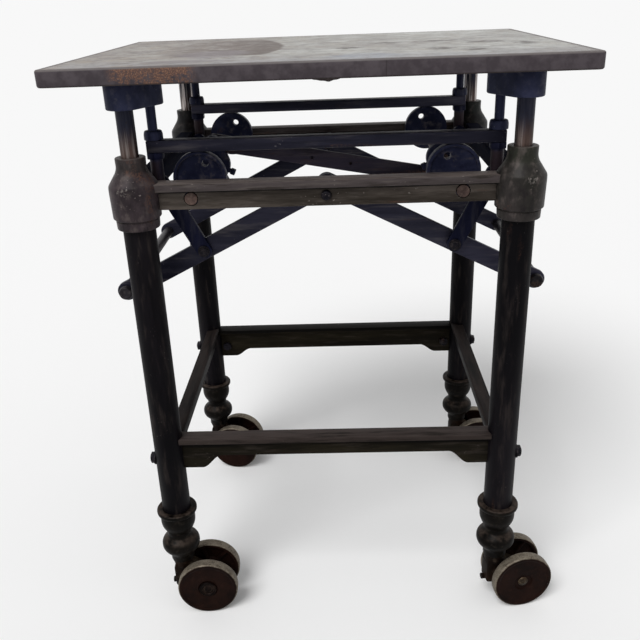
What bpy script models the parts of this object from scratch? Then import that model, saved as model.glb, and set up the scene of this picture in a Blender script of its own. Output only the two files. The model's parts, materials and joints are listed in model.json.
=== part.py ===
"""Adjustable printers table: a plate top on four guide rods, lifted by levers and trimmed by eccentrics.

Run with: blender --background --python part.py
Units are metres and +Z is up. The front of the table faces -Y and its left side -X.
"""

from math import acos, atan2, ceil, cos, hypot, pi, radians, sin

import bmesh
import bpy
from mathutils import Matrix, Vector

# Clearances
GAP = 0.0003
PIN_PLAY = 0.0025

# Table top, the heights below its upper face, and the heights above the floor
TOP_WIDTH = 0.742
TOP_DEPTH = 0.585
TOP_THICKNESS = 0.023
TOP_HEIGHT = 0.950
HEAD_DROP = 0.127
RAIL_DROP = 0.0386
PIVOT_DROP = 0.0239
STRUT_PIN_RISE = 0.0105
LOWER_RAIL_TOP = 0.354
REAR_RAIL_DROP = 0.011
SIDE_RAIL_DROP = 0.005
FOOT_TOP = 0.211

# Distances in from the top's edges, then from one pair of uprights to the next
TOP_SHIFT = 0.006
LEG_INSET_X = 0.091
LEG_INSET_Y = 0.060
LIFT_INSET_X = 0.0272
LIFT_INSET_Y = 0.0425
SHAFT_INSET = 0.0553
SIDE_RAIL_INSET = 0.010
LEVER_PIN_INSET = 0.0006

# Legs
TUBE_DIAMETER = 0.0483
TUBE_WALL = 0.0037
TUBE_SEAT = 0.028

# What hangs from the top
TOP_CORNER = 0.010
TOP_EDGE_ROUND = 0.003
GUIDE_ROD_DIAMETER = 0.0254
GUIDE_ROD_LENGTH = 0.310
LIFT_ROD_DIAMETER = 0.0143
LIFT_SLEEVE_DIAMETER = 0.019
LIFT_ROD_TAIL = 0.014
CASTING_HEIGHT = 0.037
CASTING_GUIDE_DIAMETER = 0.049
CASTING_LIFT_DIAMETER = 0.040
COLLAR_DIAMETER = 0.028
COLLAR_HEIGHT = 0.013
NUT_DIAMETER = 0.027
NUT_HEIGHT = 0.010
LIFTING_RAIL_DEPTH = 0.022
LIFTING_RAIL_HEIGHT = 0.0175
LIFTING_RAIL_OVERHANG = 0.0105

# Leg heads and rails
NECK_DIAMETER = 0.044
BARREL_DIAMETER = 0.073
HEAD_COLLAR_DIAMETER = 0.064
NECK_HEIGHT = 0.018
SHOULDER_HEIGHT = 0.024
BARREL_HEIGHT = 0.046
HEAD_COLLAR_HEIGHT = 0.016
END_FLANGE_WIDTH = 0.030
SIDE_FLANGE_WIDTH = 0.024
UPPER_FLANGE_THICKNESS = 0.0115
LOWER_FLANGE_THICKNESS = 0.009
RAIL_WEB_THICKNESS = 0.010
UPPER_RAIL_HEIGHT = 0.0399
LOWER_RAIL_HEIGHT = 0.0365
REAR_RAIL_HEIGHT = 0.049
HAUNCH_DROP = 0.0235
REAR_HAUNCH_DROP = 0.017
HAUNCH_LENGTH = 0.060
HAUNCH_CURVE = 0.024
RAIL_STOP = 0.004

# Fasteners
BOLT_DIAMETER = 0.010
BOLT_HEAD_DIAMETER = 0.020
BOLT_HEAD_HEIGHT = 0.008
BOLT_SEAT = 0.0025
BOLT_BITE = 0.006
BOLT_TWIST = radians(11)
WEB_BOLT_DIAMETER = 0.008
WEB_BOLT_INSET = 0.037
BOLT_DROP = 0.041
PIVOT_BOLT_DIAMETER = 0.0126
PIVOT_HEAD_DIAMETER = 0.0156
PIVOT_HEAD_HEIGHT = 0.006
PIVOT_SLEEVE_DIAMETER = 0.020
PIVOT_NUT_DIAMETER = 0.022
PIVOT_NUT_HEIGHT = 0.008

# Levers and struts
LEVER_ANGLE = radians(26.8)
HANDLE_REACH = 0.150
LEVER_WIDTH = 0.031
LEVER_THICKNESS = 0.008
LEVER_LAYER = 0.0005
STRUT_THICKNESS = 0.008
STRUT_TOP_WIDTH = 0.026
STRUT_FOOT_WIDTH = 0.024
LEVER_PIN_DIAMETER = 0.010
LEVER_PIN_HEAD_DIAMETER = 0.019
LEVER_PIN_HEAD_HEIGHT = 0.006
CROSS_PIN_DIAMETER = 0.008
HANDLE_DIAMETER = 0.019
HANDLE_NECK_DIAMETER = 0.0135
HANDLE_KNOB_DIAMETER = 0.023
HANDLE_KNOB_LENGTH = 0.012

# Rocker shafts, eccentrics and the link between them
SHAFT_DIAMETER = 0.019
SHAFT_PROUD = 0.0015
CAM_RADIUS = 0.040
CAM_THROW = 0.022
CAM_LEAN = radians(22)
CAM_THICKNESS = 0.016
CAM_RIM = 0.0045
CAM_RECESS = 0.004
CAM_HUB_DIAMETER = 0.030
CAM_HOLE_DIAMETER = 0.0105
CAM_HOLE_REACH = 0.024
CAM_HOLE_ANGLE = radians(66)
CAM_TO_STRUT = 0.0015
CRANK_RADIUS = 0.036
CRANK_THICKNESS = 0.016
CRANK_HUB_DIAMETER = 0.055
CRANK_BOSS_DIAMETER = 0.028
CRANK_PIN_DIAMETER = 0.010
CRANK_PIN_HEAD_DIAMETER = 0.017
CRANK_PIN_HEAD_HEIGHT = 0.004
SET_SCREW_SIZE = 0.010
SET_SCREW_REACH = 0.0385
SET_SCREW_ANGLE = radians(-24)
LINK_WIDTH = 0.029
LINK_THICKNESS = 0.008
LINK_HOLE_DIAMETER = 0.006
LINK_HOLE_PLACES = (0.43, 0.60)

# Feet and casters
FOOT_FLANGE_DIAMETER = 0.069
FOOT_FLANGE_HEIGHT = 0.008
CUP_DIAMETER = 0.060
CUP_HEIGHT = 0.043
WAIST_DIAMETER = 0.041
BULB_DIAMETER = 0.067
BULB_HEIGHT = 0.058
FOOT_NECK_DIAMETER = 0.040
STEM_DIAMETER = 0.016
STEM_LENGTH = 0.050
WHEEL_DIAMETER = 0.107
WHEEL_WIDTH = 0.0175
WHEEL_GAP = 0.038
WHEEL_RIM = 0.007
WHEEL_WEB = 0.007
WHEEL_HUB_DIAMETER = 0.030
AXLE_RING_DIAMETER = 0.032
AXLE_RING_HEIGHT = 0.002
AXLE_DIAMETER = 0.0125
CASTER_TRAIL = 0.0436
HORN_NECK_DIAMETER = 0.026
HORN_STEM_DIAMETER = 0.030
HORN_BOSS_DIAMETER = 0.034
HORN_WALL_GAP = 0.001
HORN_NECK_HEIGHT = 0.010
CASTER_TURNS = {"front_left": radians(3), "front_right": radians(11),
                "rear_left": radians(-9), "rear_right": radians(5)}

# Facets
TURN_STEPS = 16
SMALL_STEPS = 10
HOLE_STEPS = 12
PIN_STEPS = 8
ARC_STEP = radians(30)
DRILL_REACH = 0.030

# Places worked out from the sizes above
LEG_X = TOP_WIDTH / 2 - LEG_INSET_X
LEG_Y = TOP_DEPTH / 2 - LEG_INSET_Y
LIFT_X = LEG_X - LIFT_INSET_X
LIFT_Y = LEG_Y - LIFT_INSET_Y
SHAFT_X = LIFT_X - SHAFT_INSET
LEVER_PIN_REACH = (SHAFT_X - LEVER_PIN_INSET) / cos(LEVER_ANGLE)
LEVER_REACH = LEVER_PIN_REACH + HANDLE_REACH
WHEEL_RADIUS = WHEEL_DIAMETER / 2
TOP_UNDERSIDE = TOP_HEIGHT - TOP_THICKNESS
HEAD_TOP = TOP_HEIGHT - HEAD_DROP
UPPER_RAIL_TOP = HEAD_TOP - RAIL_DROP
PIVOT_HEIGHT = UPPER_RAIL_TOP - PIVOT_DROP
STRUT_PIN_HEIGHT = PIVOT_HEIGHT + STRUT_PIN_RISE
FOOT_BOTTOM = FOOT_TOP - FOOT_FLANGE_HEIGHT - CUP_HEIGHT - BULB_HEIGHT
HEAD_BOTTOM = HEAD_TOP - NECK_HEIGHT - SHOULDER_HEIGHT - BARREL_HEIGHT - HEAD_COLLAR_HEIGHT
TUBE_TOP = HEAD_BOTTOM + HEAD_COLLAR_HEIGHT + BARREL_HEIGHT
CAM_TOP = PIVOT_HEIGHT + CAM_THROW * cos(CAM_LEAN) + CAM_RADIUS
LIFTING_RAIL_BOTTOM = CAM_TOP + GAP
LIFTING_RAIL_TOP = LIFTING_RAIL_BOTTOM + LIFTING_RAIL_HEIGHT
WEB_HALF = RAIL_WEB_THICKNESS / 2
LEG_BOLT_REACH = TUBE_DIAMETER / 2 + BOLT_BITE + GAP
STRUT_OUTER_Y = LIFT_Y - LIFT_SLEEVE_DIAMETER / 2 - GAP
STRUT_INNER_Y = STRUT_OUTER_Y - STRUT_THICKNESS
CAM_INNER_Y = STRUT_OUTER_Y + CAM_TO_STRUT
LINK_NEAR_Y = CRANK_THICKNESS / 2 + LEVER_LAYER
LINK_FAR_Y = LINK_NEAR_Y + LINK_THICKNESS
REAR_RAIL_TOP = LOWER_RAIL_TOP - REAR_RAIL_DROP
SIDE_RAIL_TOP = LOWER_RAIL_TOP - SIDE_RAIL_DROP
LEFT_REACH = TOP_WIDTH / 2 + TOP_SHIFT
RIGHT_REACH = max(LEG_X + (CASTER_TRAIL + WHEEL_RADIUS) * cos(turn) + (WHEEL_GAP / 2 + WHEEL_WIDTH) * abs(sin(turn))
                  for corner, turn in CASTER_TURNS.items() if corner.endswith("right"))
CENTRE_X = (LEFT_REACH - RIGHT_REACH) / 2

SIDES = {"left": -1, "right": 1}
ENDS = {"front": -1, "rear": 1}
CORNERS = {f"{end}_{side}": (SIDES[side], ENDS[end]) for end in ENDS for side in SIDES}

ONTO_YZ = Matrix(((0, 0, 1), (1, 0, 0), (0, 1, 0))).to_4x4()


# Scene and finishes
def empty_scene():
    """Removes what the scene holds and makes one collection for the parts and one for the cutters."""
    for obj in list(bpy.data.objects):
        bpy.data.objects.remove(obj, do_unlink=True)
    made = []
    for name in ("adjustable_printers_table", "cutters"):
        collection = bpy.data.collections.new(name)
        bpy.context.scene.collection.children.link(collection)
        made.append(collection)
    return made


def finish(name, colour, roughness, metallic):
    """A plain Principled finish."""
    material = bpy.data.materials.new(name)
    material.use_nodes = True
    shader = material.node_tree.nodes["Principled BSDF"]
    shader.inputs["Base Color"].default_value = (*colour, 1.0)
    shader.inputs["Roughness"].default_value = roughness
    shader.inputs["Metallic"].default_value = metallic
    return material


PARTS, CUTTERS = empty_scene()
IRON = finish("olive_cast_iron", (0.075, 0.066, 0.048), 0.62, 0.6)
PIPE = finish("dark_painted_pipe", (0.045, 0.038, 0.034), 0.50, 0.6)
PLATE = finish("worn_steel_plate", (0.17, 0.16, 0.15), 0.45, 0.8)
BAR = finish("dark_steel_bar", (0.060, 0.054, 0.054), 0.50, 0.8)
ROD = finish("worn_steel_rod", (0.12, 0.10, 0.085), 0.35, 0.9)
COPPER_BROWN = finish("brown_turned_steel", (0.20, 0.11, 0.075), 0.45, 0.8)
LINK_BROWN = finish("brown_link_steel", (0.11, 0.075, 0.060), 0.55, 0.7)
WHEEL_BROWN = finish("brown_wheel_iron", (0.085, 0.058, 0.050), 0.55, 0.6)
FRAME = bpy.data.objects.new("table_frame", None)
FRAME.location = (CENTRE_X, 0, 0)
PARTS.objects.link(FRAME)


def axis_empty(name, place, parent=FRAME):
    """An empty on a joint's axis, which the pieces of that joint are parented to."""
    empty = bpy.data.objects.new(name, None)
    empty.empty_display_size = 0.03
    PARTS.objects.link(empty)
    empty.parent = parent
    above = Vector(place)
    while parent is not FRAME:
        above -= parent.location
        parent = parent.parent
    empty.location = above
    return empty


def origin_of(empty):
    """An axis empty's place in the table's own coordinates."""
    place = Vector((0, 0, 0))
    while empty is not FRAME:
        place += empty.location
        empty = empty.parent
    return place


def keep(name, mesh, material, parent=FRAME):
    """A part whose mesh is drawn in the table's coordinates, with its origin moved to its parent's."""
    mesh.name = name
    mesh.transform(Matrix.Translation(-origin_of(parent)))
    mesh.shade_smooth()
    mesh.set_sharp_from_angle(angle=radians(35))
    mesh.materials.clear()
    mesh.materials.append(material)
    part = bpy.data.objects.new(name, mesh)
    PARTS.objects.link(part)
    part.parent = parent
    return part


# Outlines and solids
def circle(x, y, diameter, steps=HOLE_STEPS):
    return [(x + diameter / 2 * cos(2 * pi * i / steps), y + diameter / 2 * sin(2 * pi * i / steps))
            for i in range(steps)]


def arc(x, y, radius, start, end):
    count = max(2, ceil(abs(end - start) / ARC_STEP))
    return [(x + radius * cos(start + (end - start) * i / count),
             y + radius * sin(start + (end - start) * i / count)) for i in range(count + 1)]


def belt(first, first_diameter, second, second_diameter):
    """The outline of a tapered bar with round ends: two circles and the lines that touch both."""
    run = atan2(second[1] - first[1], second[0] - first[0])
    reach = hypot(second[0] - first[0], second[1] - first[1])
    lean = acos((first_diameter - second_diameter) / 2 / reach)
    return (arc(*first, first_diameter / 2, run + lean, run + 2 * pi - lean)
            + arc(*second, second_diameter / 2, run - lean, run + lean))


def face_outwards(mesh):
    """Welds a closed mesh's loose points and turns its faces out."""
    draft = bmesh.new()
    draft.from_mesh(mesh)
    bmesh.ops.remove_doubles(draft, verts=draft.verts, dist=1e-6)
    bmesh.ops.recalc_face_normals(draft, faces=draft.faces)
    draft.to_mesh(mesh)
    draft.free()


def solid(loops, low, high, along="Z"):
    """A mesh with a flat outline, run from low to high along an axis. Loops after the first are holes."""
    curve = bpy.data.curves.new("outline", "CURVE")
    curve.dimensions = "2D"
    curve.fill_mode = "BOTH"
    curve.extrude = (high - low) / 2
    for loop in loops:
        spline = curve.splines.new("POLY")
        spline.points.add(len(loop) - 1)
        for point, (x, y) in zip(spline.points, loop):
            point.co = (x, y, 0, 1)
        spline.use_cyclic_u = True
    shape = bpy.data.objects.new("outline", curve)
    PARTS.objects.link(shape)
    mesh = bpy.data.meshes.new_from_object(shape.evaluated_get(bpy.context.evaluated_depsgraph_get()))
    bpy.data.objects.remove(shape, do_unlink=True)
    face_outwards(mesh)
    middle = (low + high) / 2
    if along == "Y":
        mesh.transform(Matrix.Translation((0, middle, 0)) @ Matrix.Rotation(pi / 2, 4, "X"))
    elif along == "X":
        mesh.transform(Matrix.Translation((middle, 0, 0)) @ ONTO_YZ)
    else:
        mesh.transform(Matrix.Translation((0, 0, middle)))
    return mesh


def turned(profile, place=(0, 0, 0), along="Z", steps=TURN_STEPS):
    """A mesh turned from (radius, height) points that run down the outer side, by a Screw modifier.

    A profile that starts and ends on the axis is solid. Any other is closed up through its bore.
    """
    mesh = bpy.data.meshes.new("profile")
    draft = bmesh.new()
    points = [draft.verts.new((radius, 0, height)) for radius, height in profile]
    for one, two in zip(points, points[1:]):
        draft.edges.new((one, two))
    if profile[0][0] > 0:
        draft.edges.new((points[-1], points[0]))
    draft.to_mesh(mesh)
    draft.free()
    shape = bpy.data.objects.new("profile", mesh)
    PARTS.objects.link(shape)
    screw = shape.modifiers.new("turn", "SCREW")
    screw.steps = screw.render_steps = steps
    screw.use_merge_vertices = True
    screw.merge_threshold = 1e-5
    made = bpy.data.meshes.new_from_object(shape.evaluated_get(bpy.context.evaluated_depsgraph_get()))
    bpy.data.objects.remove(shape, do_unlink=True)
    face_outwards(made)
    turn = {"Z": Matrix.Identity(4), "Y": Matrix.Rotation(-pi / 2, 4, "X"), "X": Matrix.Rotation(pi / 2, 4, "Y")}
    made.transform(Matrix.Translation(place) @ turn[along])
    return made


def rod(diameter, low, high, place, along, steps=SMALL_STEPS):
    """A plain round bar from low to high along an axis through a place."""
    return turned([(0, high), (diameter / 2, high), (diameter / 2, low), (0, low)], place, along, steps)


def box(low, high):
    mesh = bpy.data.meshes.new("box")
    draft = bmesh.new()
    bmesh.ops.create_cube(draft, size=1)
    size = Vector(high) - Vector(low)
    bmesh.ops.scale(draft, vec=size, verts=draft.verts)
    bmesh.ops.translate(draft, vec=Vector(low) + size / 2, verts=draft.verts)
    draft.to_mesh(mesh)
    draft.free()
    return mesh


def combined(mesh, others, operation):
    """The mesh after Booleans with others, which stay in the cutters collection as hidden wires."""
    target = bpy.data.objects.new("blank", mesh)
    PARTS.objects.link(target)
    for other in others:
        cutter = bpy.data.objects.new("cutter", other)
        CUTTERS.objects.link(cutter)
        cutter.hide_render = True
        cutter.display_type = "WIRE"
        step = target.modifiers.new(operation.lower(), "BOOLEAN")
        step.operation = operation
        step.object = cutter
    bpy.context.view_layer.update()
    made = bpy.data.meshes.new_from_object(target.evaluated_get(bpy.context.evaluated_depsgraph_get()))
    bpy.data.objects.remove(target, do_unlink=True)
    return made


def joined(mesh, others):
    return combined(mesh, others, "UNION")


def cut(mesh, others):
    return combined(mesh, others, "DIFFERENCE")


def tee(middle, top, width, thickness, height):
    """The T outline of a rail: a flange on a web, across the rail and up."""
    flange, web, under = width / 2, WEB_HALF, top - thickness
    half = [(flange, top), (flange, under), (web, under), (web, top - height)]
    return [(middle + x, z) for x, z in half] + [(middle - x, z) for x, z in reversed(half)]


def bolt(place, along, outward, diameter, length):
    """A hex-headed bolt let into its seat at the place, with its head outward and its shank the other way."""
    head = solid([circle(0, 0, BOLT_HEAD_DIAMETER, 6)], -BOLT_SEAT, BOLT_HEAD_HEIGHT)
    body = joined(head, [rod(diameter, -length, BOLT_HEAD_HEIGHT / 2, (0, 0, 0), "Z", PIN_STEPS)])
    body.transform(Matrix.Rotation(BOLT_TWIST, 4, "Z"))
    turn = Matrix.Rotation(outward * pi / 2, 4, "Y") if along == "X" else Matrix.Rotation(-outward * pi / 2, 4, "X")
    body.transform(Matrix.Translation(place) @ turn)
    return body


# Frame
def rail_top(end):
    """The height of the lower rail at the front or the rear."""
    return LOWER_RAIL_TOP if end < 0 else REAR_RAIL_TOP


def leg_tubes():
    """Pipe legs, each with the bolt that goes through it into its rail's lug."""
    outer = TUBE_DIAMETER / 2
    bore = outer - TUBE_WALL
    low, high = FOOT_TOP - TUBE_SEAT, TUBE_TOP - GAP
    for corner, (side, end) in CORNERS.items():
        x, y = side * LEG_X, end * LEG_Y
        tube = turned([(outer, high), (outer, low), (bore, low), (bore, high)], (x, y, 0))
        through = bolt((x + side * outer, y, rail_top(end) - BOLT_DROP), "X", side,
                       BOLT_DIAMETER, TUBE_DIAMETER + BOLT_BITE)
        keep(f"leg_tube_{corner}", joined(tube, [through]), PIPE)


def head_profile():
    """A leg head from its neck down: neck, rounded shoulder, barrel and collar, with its two bores."""
    neck, barrel, collar = NECK_DIAMETER / 2, BARREL_DIAMETER / 2, HEAD_COLLAR_DIAMETER / 2
    rod_bore = GUIDE_ROD_DIAMETER / 2 + GAP
    tube_bore = TUBE_DIAMETER / 2 + GAP
    shoulder_top = HEAD_TOP - NECK_HEIGHT
    shoulder = [(neck + (barrel - neck) * sin(t * pi / 2) ** 1.4, shoulder_top - SHOULDER_HEIGHT * t)
                for t in (0.0, 0.4, 1.0)]
    barrel_bottom = TUBE_TOP - BARREL_HEIGHT
    outer = [(neck, HEAD_TOP), *shoulder, (barrel, barrel_bottom), (collar, barrel_bottom), (collar, HEAD_BOTTOM)]
    return outer + [(tube_bore, HEAD_BOTTOM), (tube_bore, TUBE_TOP), (rod_bore, TUBE_TOP), (rod_bore, HEAD_TOP)]


def head_frames():
    """Front and rear castings: two leg heads, the drilled T rail between them and its lever pivot."""
    for name, end in ENDS.items():
        y = end * LEG_Y
        reach = LEG_X - TUBE_DIAMETER / 2 - RAIL_STOP
        rail = solid([tee(y, UPPER_RAIL_TOP, END_FLANGE_WIDTH, UPPER_FLANGE_THICKNESS, UPPER_RAIL_HEIGHT)],
                     -reach, reach, "X")
        heads = [turned(head_profile(), (side * LEG_X, y, 0)) for side in SIDES.values()]
        holes = [rod(SHAFT_DIAMETER + 2 * GAP, -DRILL_REACH, DRILL_REACH, (side * SHAFT_X, y, PIVOT_HEIGHT),
                     "Y", TURN_STEPS) for side in SIDES.values()]
        keep(f"head_frame_{name}", cut(joined(rail, [*heads, pivot_bolt(end)]), holes), IRON)


def pivot_bolt(end):
    """The shouldered bolt in the middle of an upper rail; both lever bars turn on its inner end."""
    web_out = LEG_Y + WEB_HALF
    pin, head = PIVOT_BOLT_DIAMETER / 2, PIVOT_HEAD_DIAMETER / 2
    sleeve, nut = PIVOT_SLEEVE_DIAMETER / 2, PIVOT_NUT_DIAMETER / 2
    shoulder, nut_seat = lever_layer(-1)[1] + GAP, lever_layer(1)[0] - GAP
    profile = [(0, web_out + PIVOT_HEAD_HEIGHT), (head / 2, web_out + PIVOT_HEAD_HEIGHT),
               (head, web_out + PIVOT_HEAD_HEIGHT / 2), (head, LEG_Y), (sleeve, LEG_Y), (sleeve, shoulder),
               (pin, shoulder), (pin, nut_seat), (nut, nut_seat), (nut, nut_seat - PIVOT_NUT_HEIGHT),
               (0, nut_seat - PIVOT_NUT_HEIGHT)]
    made = turned(profile, (0, 0, 0), "Y", SMALL_STEPS)
    if end < 0:
        made.transform(Matrix.Rotation(pi, 4, "Z"))
    made.transform(Matrix.Translation((0, 0, PIVOT_HEIGHT)))
    return made


def upper_side_rails():
    """Side rails, hollowed at their ends to sit against the round heads."""
    for name, side in SIDES.items():
        x = side * LEG_X
        rail = solid([tee(x, UPPER_RAIL_TOP, SIDE_FLANGE_WIDTH, UPPER_FLANGE_THICKNESS, UPPER_RAIL_HEIGHT)],
                     -LEG_Y, LEG_Y, "Y")
        scoops = [rod(BARREL_DIAMETER + 2 * GAP, UPPER_RAIL_TOP - 2 * UPPER_RAIL_HEIGHT,
                      UPPER_RAIL_TOP + UPPER_RAIL_HEIGHT, (x, end * LEG_Y, 0), "Z", TURN_STEPS)
                  for end in ENDS.values()]
        keep(f"upper_side_rail_{name}", cut(rail, scoops), IRON)


def haunched_web(end):
    """The front outline of a lower rail's web: level below, with deep lugs that sweep down at both ends."""
    top = rail_top(end) - LOWER_FLANGE_THICKNESS / 2
    level = rail_top(end) - (LOWER_RAIL_HEIGHT if end < 0 else REAR_RAIL_HEIGHT)
    drop = HAUNCH_DROP if end < 0 else REAR_HAUNCH_DROP
    lug = level - drop
    inner = LEG_X - HAUNCH_LENGTH
    sweep = [(inner - HAUNCH_CURVE * t, lug + drop * (1 - cos(pi * t)) / 2) for t in (0, 0.25, 0.5, 0.75, 1)]
    right = [(LEG_X, top), (LEG_X, lug)] + sweep
    return [(-x, z) for x, z in right] + list(reversed(right))


def lower_rails():
    """Stretchers between the legs. The front and rear ones have lugs for the leg bolts, and web bolts."""
    half_flange = END_FLANGE_WIDTH / 2
    for name, end in ENDS.items():
        y = end * LEG_Y
        bolt_z = rail_top(end) - BOLT_DROP
        flange = box((-LEG_X, y - half_flange, rail_top(end) - LOWER_FLANGE_THICKNESS),
                     (LEG_X, y + half_flange, rail_top(end)))
        added = [solid([haunched_web(end)], y - WEB_HALF, y + WEB_HALF, "Y")]
        cuts = []
        for side in SIDES.values():
            added.append(bolt((side * (LEG_X - WEB_BOLT_INSET), end * (LEG_Y - WEB_HALF), bolt_z), "Y", -end,
                              WEB_BOLT_DIAMETER, WEB_HALF))
            cuts.append(leg_scoop(side, end))
            cuts.append(rod(BOLT_DIAMETER + 2 * GAP, -LEG_BOLT_REACH, LEG_BOLT_REACH,
                            (side * LEG_X, y, bolt_z), "X"))
        keep(f"lower_rail_{name}", cut(joined(flange, added), cuts), IRON)
    reach = LEG_Y - half_flange - GAP
    for name, side in SIDES.items():
        outline = tee(side * (LEG_X - SIDE_RAIL_INSET), SIDE_RAIL_TOP, SIDE_FLANGE_WIDTH, LOWER_FLANGE_THICKNESS,
                      LOWER_RAIL_HEIGHT)
        rail = solid([outline], -reach, reach, "Y")
        keep(f"lower_rail_{name}", cut(rail, [leg_scoop(side, end) for end in ENDS.values()]), IRON)


def leg_scoop(side, end):
    """The round hollow that a lower rail's end has for its leg."""
    return rod(TUBE_DIAMETER + 2 * GAP, LOWER_RAIL_TOP - 3 * LOWER_RAIL_HEIGHT, LOWER_RAIL_TOP + LOWER_RAIL_HEIGHT,
               (side * LEG_X, end * LEG_Y, 0), "Z", TURN_STEPS)


def foot_sockets():
    """Turned caster sockets: flange, cup, waist, bulb and neck, bored for the tube above and the stem below."""
    flange, cup, waist = FOOT_FLANGE_DIAMETER / 2, CUP_DIAMETER / 2, WAIST_DIAMETER / 2
    bulb, neck = BULB_DIAMETER / 2, FOOT_NECK_DIAMETER / 2
    tube_bore, stem_bore = TUBE_DIAMETER / 2 + GAP, STEM_DIAMETER / 2 + GAP
    seat = FOOT_TOP - TUBE_SEAT - GAP
    cup_top = FOOT_TOP - FOOT_FLANGE_HEIGHT
    bulb_top = cup_top - CUP_HEIGHT
    outer = [(flange, FOOT_TOP), (flange, cup_top)]
    outer += [(waist + (cup - waist) * cos(t * pi / 2) ** 0.6, cup_top - CUP_HEIGHT * t)
              for t in (0.05, 0.65, 1.0)]
    outer += [(max(neck, waist + (bulb - waist) * sin(t * pi)), bulb_top - BULB_HEIGHT * t)
              for t in (0.22, 0.48, 0.75)]
    outer.append((neck, FOOT_BOTTOM))
    bore = [(stem_bore, FOOT_BOTTOM), (stem_bore, seat), (tube_bore, seat), (tube_bore, FOOT_TOP)]
    for corner, (side, end) in CORNERS.items():
        keep(f"foot_socket_{corner}", turned(outer + bore, (side * LEG_X, end * LEG_Y, 0)), IRON)


# Lifting table
def lift_table():
    """The plate top and, at each corner, a casting and its guide rod. Returns the lift's empty."""
    lift = axis_empty("table_lift_axis", (0, 0, TOP_HEIGHT))
    half_x, half_y = TOP_WIDTH / 2, TOP_DEPTH / 2
    outline = []
    for quarter, (sx, sy) in enumerate(((1, 1), (-1, 1), (-1, -1), (1, -1))):
        outline += arc(sx * (half_x - TOP_CORNER) - TOP_SHIFT, sy * (half_y - TOP_CORNER), TOP_CORNER,
                       quarter * pi / 2, (quarter + 1) * pi / 2)
    top = keep("table_top", solid([outline], TOP_UNDERSIDE, TOP_HEIGHT), PLATE, lift)
    edge = top.modifiers.new("worn_edges", "BEVEL")
    edge.width = TOP_EDGE_ROUND
    edge.segments = 2
    edge.limit_method = "ANGLE"
    edge.angle_limit = radians(60)
    casting_top = TOP_UNDERSIDE - GAP
    for corner, (side, end) in CORNERS.items():
        guide, lifter = (side * LEG_X, end * LEG_Y), (side * LIFT_X, end * LIFT_Y)
        outline = belt(guide, CASTING_GUIDE_DIAMETER, lifter, CASTING_LIFT_DIAMETER)
        holes = [circle(*guide, GUIDE_ROD_DIAMETER + 2 * GAP, TURN_STEPS),
                 circle(*lifter, LIFT_ROD_DIAMETER + 2 * GAP)]
        keep(f"corner_casting_{corner}", solid([outline, *holes], casting_top - CASTING_HEIGHT, casting_top),
             IRON, lift)
        guide_rod = rod(GUIDE_ROD_DIAMETER, casting_top - GUIDE_ROD_LENGTH, casting_top, (*guide, 0), "Z", TURN_STEPS)
        keep(f"guide_rod_{corner}", guide_rod, ROD, lift)
    return lift


def lift_gear(lift):
    """Lift rods with collar, nut, sleeve and cross pin, and the rails between the collars and the nuts."""
    bar, sleeve = LIFT_ROD_DIAMETER / 2, LIFT_SLEEVE_DIAMETER / 2
    collar, nut = COLLAR_DIAMETER / 2, NUT_DIAMETER / 2
    rod_low, rod_high = STRUT_PIN_HEIGHT - LIFT_ROD_TAIL, TOP_UNDERSIDE - GAP
    collar_low, nut_high = LIFTING_RAIL_TOP + GAP, LIFTING_RAIL_BOTTOM - GAP
    profile = [(0, rod_high), (bar, rod_high), (bar, collar_low + COLLAR_HEIGHT),
               (collar, collar_low + COLLAR_HEIGHT), (collar, collar_low), (bar, collar_low), (bar, nut_high),
               (nut, nut_high), (nut, nut_high - NUT_HEIGHT), (sleeve, nut_high - NUT_HEIGHT), (sleeve, rod_low),
               (0, rod_low)]
    for corner, (side, end) in CORNERS.items():
        pin = rod(CROSS_PIN_DIAMETER, *between(STRUT_INNER_Y + GAP, LIFT_Y, end),
                  (side * LIFT_X, 0, STRUT_PIN_HEIGHT), "Y", PIN_STEPS)
        upright = turned(profile, (side * LIFT_X, end * LIFT_Y, 0), steps=SMALL_STEPS)
        keep(f"lift_rod_{corner}", joined(upright, [pin]), ROD, lift)
    reach = LIFT_X + LIFTING_RAIL_OVERHANG
    for name, end in ENDS.items():
        outline = [(-reach, -LIFTING_RAIL_DEPTH / 2), (reach, -LIFTING_RAIL_DEPTH / 2),
                   (reach, LIFTING_RAIL_DEPTH / 2), (-reach, LIFTING_RAIL_DEPTH / 2)]
        loops = [[(x, end * LIFT_Y + y) for x, y in outline]]
        loops += [circle(side * LIFT_X, end * LIFT_Y, LIFT_ROD_DIAMETER + 2 * GAP) for side in SIDES.values()]
        keep(f"lifting_rail_{name}", solid(loops, LIFTING_RAIL_BOTTOM, LIFTING_RAIL_TOP), BAR, lift)


# Levers and struts
def lever_layer(side):
    """Inner and outer distance of a side's lever bars from the table's middle plane."""
    outer = STRUT_INNER_Y - LEVER_LAYER - (LEVER_THICKNESS + LEVER_LAYER if side > 0 else 0)
    return outer - LEVER_THICKNESS, outer


def lever_point(side, reach):
    """A place on a lever's centre line, in x and z."""
    return side * reach * cos(LEVER_ANGLE), PIVOT_HEIGHT - reach * sin(LEVER_ANGLE)


def between(low, high, end):
    """A span of distances from the middle plane, on the front or the rear half."""
    return sorted((end * low, end * high))


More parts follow.
